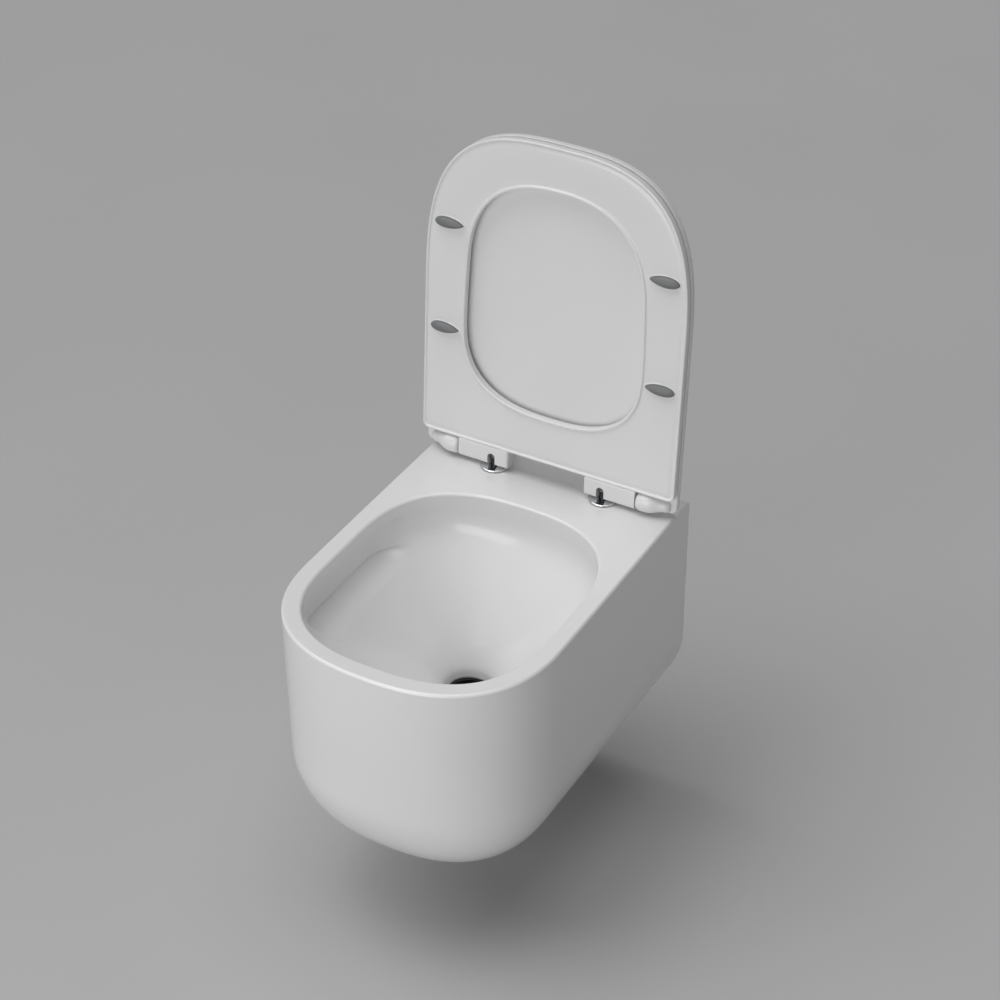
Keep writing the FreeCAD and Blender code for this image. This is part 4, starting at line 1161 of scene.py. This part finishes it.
class TOILET_OT_lid(bpy.types.Operator):
    """The lid with its two hinge lugs"""
    bl_idname = "toilet.lid"
    bl_label = "Lid"

    def execute(self, context):
        sizes = context.scene.toilet_seat
        lid, low, high = lid_slab(sizes)
        combine(lid, [block(-LUG_INNER, LUG_INNER, -5, LID_NOTCH, low - 1, high + 1)],
                "DIFFERENCE")
        combine(lid, [lid_lug(side, high) for side in (-1, 1)], "UNION")
        combine(lid, [hinge_bore(side, **LUG_BORE) for side in (-1, 1)], "DIFFERENCE")
        finish_shading(lid, 30)
        turn_up(lid)
        settle(lid, "lid_shell", finishes()["moulded_urea_white"], "lid", "seat_white", "lid_panel")
        return {"FINISHED"}


class TOILET_OT_lid_buffers(bpy.types.Operator):
    """The four round rubber buffers under the lid"""
    bl_idname = "toilet.lid_buffers"
    bl_label = "Lid buffers"

    def execute(self, context):
        sizes = context.scene.toilet_seat
        rubber = finishes()["buffer_rubber_grey"]
        foot = PAN_TOP + (sizes.lift + sizes.thickness) * 1000 + LID_BUFFER_GAP
        height = LID_GAP + LID_RECESS - LID_BUFFER_GAP
        profile = [(drop, LID_BUFFER_RADIUS - inset) for inset, drop in quarter_round(1.4, 6)]
        profile.append((height, LID_BUFFER_RADIUS))
        buffer = turned(profile, (0, 0, 0), segments=64, band=False)
        rows = [(across / 1000, (0, -out / 1000, foot / 1000)) for across, out in LID_BUFFERS]
        place_pairs(buffer, "lid_buffer_rows", rubber, rows)
        finish_shading(buffer, 50)
        turn_up(buffer)
        settle(buffer, "lid_buffers", rubber, "lid", "buffer_grey",
               *[f"lid_buffer_{row}_{side}" for row in ("front", "rear")
                 for side in ("left", "right")])
        return {"FINISHED"}


# ---- hinges ---------------------------------------------------------------------------------

DISC_SEAL = 1.0
DISC_THICKNESS = 2.0
EYE_RADIUS = 6.5
EYE_WIDTH = 9.0
PIN_HOLE = 4.0
STUD_SOCKET = 3.0


def cover_discs(post, disc, rows):
    """A rounded disc round the foot of each post."""
    chrome = finishes()["chrome_plate"]
    top = DISC_SEAL + DISC_THICKNESS
    profile = [(DISC_SEAL, post), (DISC_SEAL, disc - 0.2), (DISC_SEAL + 0.2, disc)]
    for inset, drop in reversed(quarter_round(1.3, 6)):
        profile.append((top - drop, disc - inset))
    profile += [(top, post + 1.2), (top - 0.4, post + 0.6), (top - 0.6, post)]
    cover = turned(profile, (0, 0, 0), segments=128)
    place_pairs(cover, "disc_pair", chrome, rows)
    finish_shading(cover, 40)
    settle(cover, "cover_discs", chrome, "pan_body", "hinge_chrome",
           "hinge_disc_left", "hinge_disc_right")


def disc_seals(post, disc, rows):
    """The thin seal between each disc and the glaze."""
    rubber = finishes()["seal_rubber_black"]
    ring = turned([(0, post), (0, disc - 1.2), (0.2, disc - 1), (0.8, disc - 1),
                   (DISC_SEAL, disc - 1.2), (DISC_SEAL, post)], (0, 0, 0), segments=128)
    place_pairs(ring, "seal_pair", rubber, rows)
    finish_shading(ring, 40)
    settle(ring, "disc_seals", rubber, "pan_body", "seal_black",
           "disc_seal_left", "disc_seal_right")


def hinge_posts(post, rows):
    """Upright posts, each with an eye for the pin and a socket for the stud."""
    dark = finishes()["post_plate_painted_shade_finish"]
    rise = HINGE_HEIGHT - PAN_TOP
    half = EYE_WIDTH / 2
    upright = rod((0, 0, 0), (0, 0, rise), post)
    eye = turned([(-half, EYE_RADIUS - 0.6), (-half + 0.6, EYE_RADIUS), (half - 0.6, EYE_RADIUS),
                  (half, EYE_RADIUS - 0.6)], (0, 0, rise), "X", band=False)
    combine(upright, [eye], "UNION")
    pin_hole = rod((-half - 1, 0, rise), (half + 1, 0, rise), PIN_HOLE)
    stud_hole = rod((0, 0, -1), (0, 0, rise / 2), STUD_SOCKET)
    combine(upright, [pin_hole, stud_hole], "DIFFERENCE")
    place_pairs(upright, "post_pair", dark, rows)
    finish_shading(upright, 35)
    settle(upright, "hinge_posts", dark, "pan_body", "hinge_chrome",
           "hinge_post_left", "hinge_post_right")


class TOILET_OT_hinges(bpy.types.Operator):
    """Plated posts and chrome cover discs on the deck, with their seals"""
    bl_idname = "toilet.hinges"
    bl_label = "Hinges"

    def execute(self, context):
        hinge = context.scene.toilet_hinge
        post, disc = hinge.post * 1000, hinge.disc * 1000
        rows = [(hinge.spacing / 2, (0, -HINGE_OUT / 1000, PAN_TOP / 1000))]
        cover_discs(post, disc, rows)
        disc_seals(post, disc, rows)
        hinge_posts(post, rows)
        return {"FINISHED"}


class TOILET_OT_fittings(bpy.types.Operator):
    """Finishes of the small pieces that keep their solid from the frame"""
    bl_idname = "toilet.fittings"
    bl_label = "Fittings"

    def execute(self, context):
        materials = finishes()
        groups = {
            "turned_stainless_steel": ("hinge_pin", "hinge_stud", "clamp_screw"),
            "moulded_nylon": ("fixing_bush", "cone_nut", "seat_damper", "seat_bush", "lid_bush",
                              "lid_damper"),
            "cast_zinc_alloy": ("fixing_clamp",),
            "seal_rubber_black": ("inlet_seal", "expansion_sleeve"),
        }
        for finish, starts in groups.items():
            for name, node in frame["nodes"].items():
                if name.startswith(starts):
                    for place in node.material_slots:
                        place.material = materials[finish]
        return {"FINISHED"}


# ---- stage ----------------------------------------------------------------------------------

FLOOR_REACH = 9.0
TARGET = Vector((0, -0.25, 0.1))
SUNS = [("left", -60, 60, 1.13), ("overhead", 0, 88, 0.87), ("right", 80, 25, 0.09)]
SUN_SOFTNESS = 46.0
FRONT_LAMP = {"azimuth": 0, "elevation": 8, "size": 3.0, "away": 3.5, "power": 67.0}
AMBIENT = 0.1
BACKDROP = "#A3A3A3"
CAMERA_PLACE = (1.26249, -2.44251, 1.95664)
CAMERA_AZIMUTH = 29.124
CAMERA_ELEVATION = 35.163
CAMERA_LENS = 93.95


def direction(azimuth, elevation):
    """Unit vector towards a place round the object; azimuth 0 is in front of it, 90 its right."""
    a, e = math.radians(azimuth), math.radians(elevation)
    return Vector((math.sin(a) * math.cos(e), -math.cos(a) * math.cos(e), math.sin(e)))


def aim(holder, azimuth, elevation):
    """Turns a lamp or camera that stands in that direction to face the object."""
    towards = direction(azimuth, elevation)
    holder.rotation_euler = (-towards).to_track_quat("-Z", "Y").to_euler()
    bpy.context.scene.collection.objects.link(holder)
    return towards


def stage_floor(sizes):
    """A plain matt floor, wide enough for any view."""
    reach, height = FLOOR_REACH, PAN_TOP / 1000 - sizes.floor_drop
    corners = [(-reach, -reach), (reach, -reach), (reach, reach), (-reach, reach)]
    mesh = bpy.data.meshes.new("floor")
    mesh.from_pydata([(x, y, height) for x, y in corners], [], [(0, 1, 2, 3)])
    floor = bpy.data.objects.new("floor", mesh)
    bpy.context.scene.collection.objects.link(floor)
    material, tree, shader, place = new_material("painted_floor")
    cloud = noise(tree, place, 400, 1.0)
    base = tint(tree, cloud, shade(tuple(sizes.floor), 0.99), shade(tuple(sizes.floor), 1.01))
    tree.links.new(base, shader.inputs["Base Color"])
    shader.inputs["Roughness"].default_value = 0.9
    shader.inputs["Specular IOR Level"].default_value = 0.1
    mesh.materials.append(material)


def stage_world():
    """A faint even light, and a plain backdrop wherever a ray looks past the floor."""
    world = bpy.data.worlds.new("studio")
    bpy.context.scene.world = world
    world.use_nodes = True
    tree = world.node_tree
    tree.nodes.clear()
    path = add_node(tree, "ShaderNodeLightPath")
    seen = path.outputs["Is Camera Ray"]
    for ray in ("Is Glossy Ray", "Is Transmission Ray"):
        seen = add_node(tree, "ShaderNodeMath", {0: seen, 1: path.outputs[ray]},
                        operation="MAXIMUM").outputs[0]
    light = add_node(tree, "ShaderNodeBackground", {"Color": (1, 1, 1, 1), "Strength": AMBIENT})
    shown = add_node(tree, "ShaderNodeBackground", {"Color": from_hex(BACKDROP), "Strength": 1.0})
    mixed = add_node(tree, "ShaderNodeMixShader", {0: seen, 1: light.outputs[0],
                                                   2: shown.outputs[0]})
    add_node(tree, "ShaderNodeOutputWorld", {0: mixed.outputs[0]})


def stage_lamps():
    """Soft suns for light that is even over the floor, and one square lamp in front."""
    for name, azimuth, elevation, strength in SUNS:
        lamp = bpy.data.lights.new(name, "SUN")
        lamp.angle = math.radians(SUN_SOFTNESS)
        lamp.energy = strength
        aim(bpy.data.objects.new(name, lamp), azimuth, elevation)
    front = bpy.data.lights.new("front", "AREA")
    front.shape = "SQUARE"
    front.size = FRONT_LAMP["size"]
    front.energy = FRONT_LAMP["power"]
    holder = bpy.data.objects.new("front", front)
    towards = aim(holder, FRONT_LAMP["azimuth"], FRONT_LAMP["elevation"])
    holder.location = TARGET + towards * FRONT_LAMP["away"]
    holder.visible_camera = False


class TOILET_OT_stage(bpy.types.Operator):
    """Floor, soft light and the camera"""
    bl_idname = "toilet.stage"
    bl_label = "Stage"

    def execute(self, context):
        scene = context.scene
        scene.view_settings.view_transform = "Standard"
        stage_floor(scene.toilet_stage)
        stage_world()
        stage_lamps()
        data = bpy.data.cameras.new("camera")
        data.sensor_width = 36.0
        data.lens = CAMERA_LENS
        camera = bpy.data.objects.new("camera", data)
        camera.location = CAMERA_PLACE
        aim(camera, CAMERA_AZIMUTH, CAMERA_ELEVATION)
        scene.camera = camera
        return {"FINISHED"}


# ---- add-on ---------------------------------------------------------------------------------

GROUPS = {"toilet_pan": PanSizes, "toilet_seat": SeatSizes, "toilet_hinge": HingeSizes,
          "toilet_stage": StageSizes}
OPERATORS = (TOILET_OT_stage, TOILET_OT_pan, TOILET_OT_seat, TOILET_OT_seat_buffers, TOILET_OT_lid,
             TOILET_OT_lid_buffers, TOILET_OT_hinges, TOILET_OT_fittings)


class TOILET_PT_panel(bpy.types.Panel):
    """Sizes, colours and pieces of the toilet"""
    bl_label = "Wall Hung Toilet"
    bl_idname = "TOILET_PT_panel"
    bl_space_type = "VIEW_3D"
    bl_region_type = "UI"
    bl_category = "Toilet"

    def draw(self, context):
        for name, group in GROUPS.items():
            box = self.layout.box()
            box.label(text=group.__name__)
            for key in group.__annotations__:
                box.prop(getattr(context.scene, name), key)
        for operator in OPERATORS:
            self.layout.operator(operator.bl_idname)


def register():
    for group in GROUPS.values():
        bpy.utils.register_class(group)
    for operator in OPERATORS:
        bpy.utils.register_class(operator)
    bpy.utils.register_class(TOILET_PT_panel)
    for name, group in GROUPS.items():
        setattr(bpy.types.Scene, name, PointerProperty(type=group))


def unregister():
    for name in GROUPS:
        delattr(bpy.types.Scene, name)
    bpy.utils.unregister_class(TOILET_PT_panel)
    for operator in reversed(OPERATORS):
        bpy.utils.unregister_class(operator)
    for group in reversed(list(GROUPS.values())):
        bpy.utils.unregister_class(group)


def main():
    register()
    bpy.ops.toilet.stage()
    bpy.ops.toilet.pan()
    bpy.ops.toilet.seat()
    bpy.ops.toilet.seat_buffers()
    bpy.ops.toilet.lid()
    bpy.ops.toilet.lid_buffers()
    bpy.ops.toilet.hinges()
    bpy.ops.toilet.fittings()


if __name__ == "__main__":
    main()
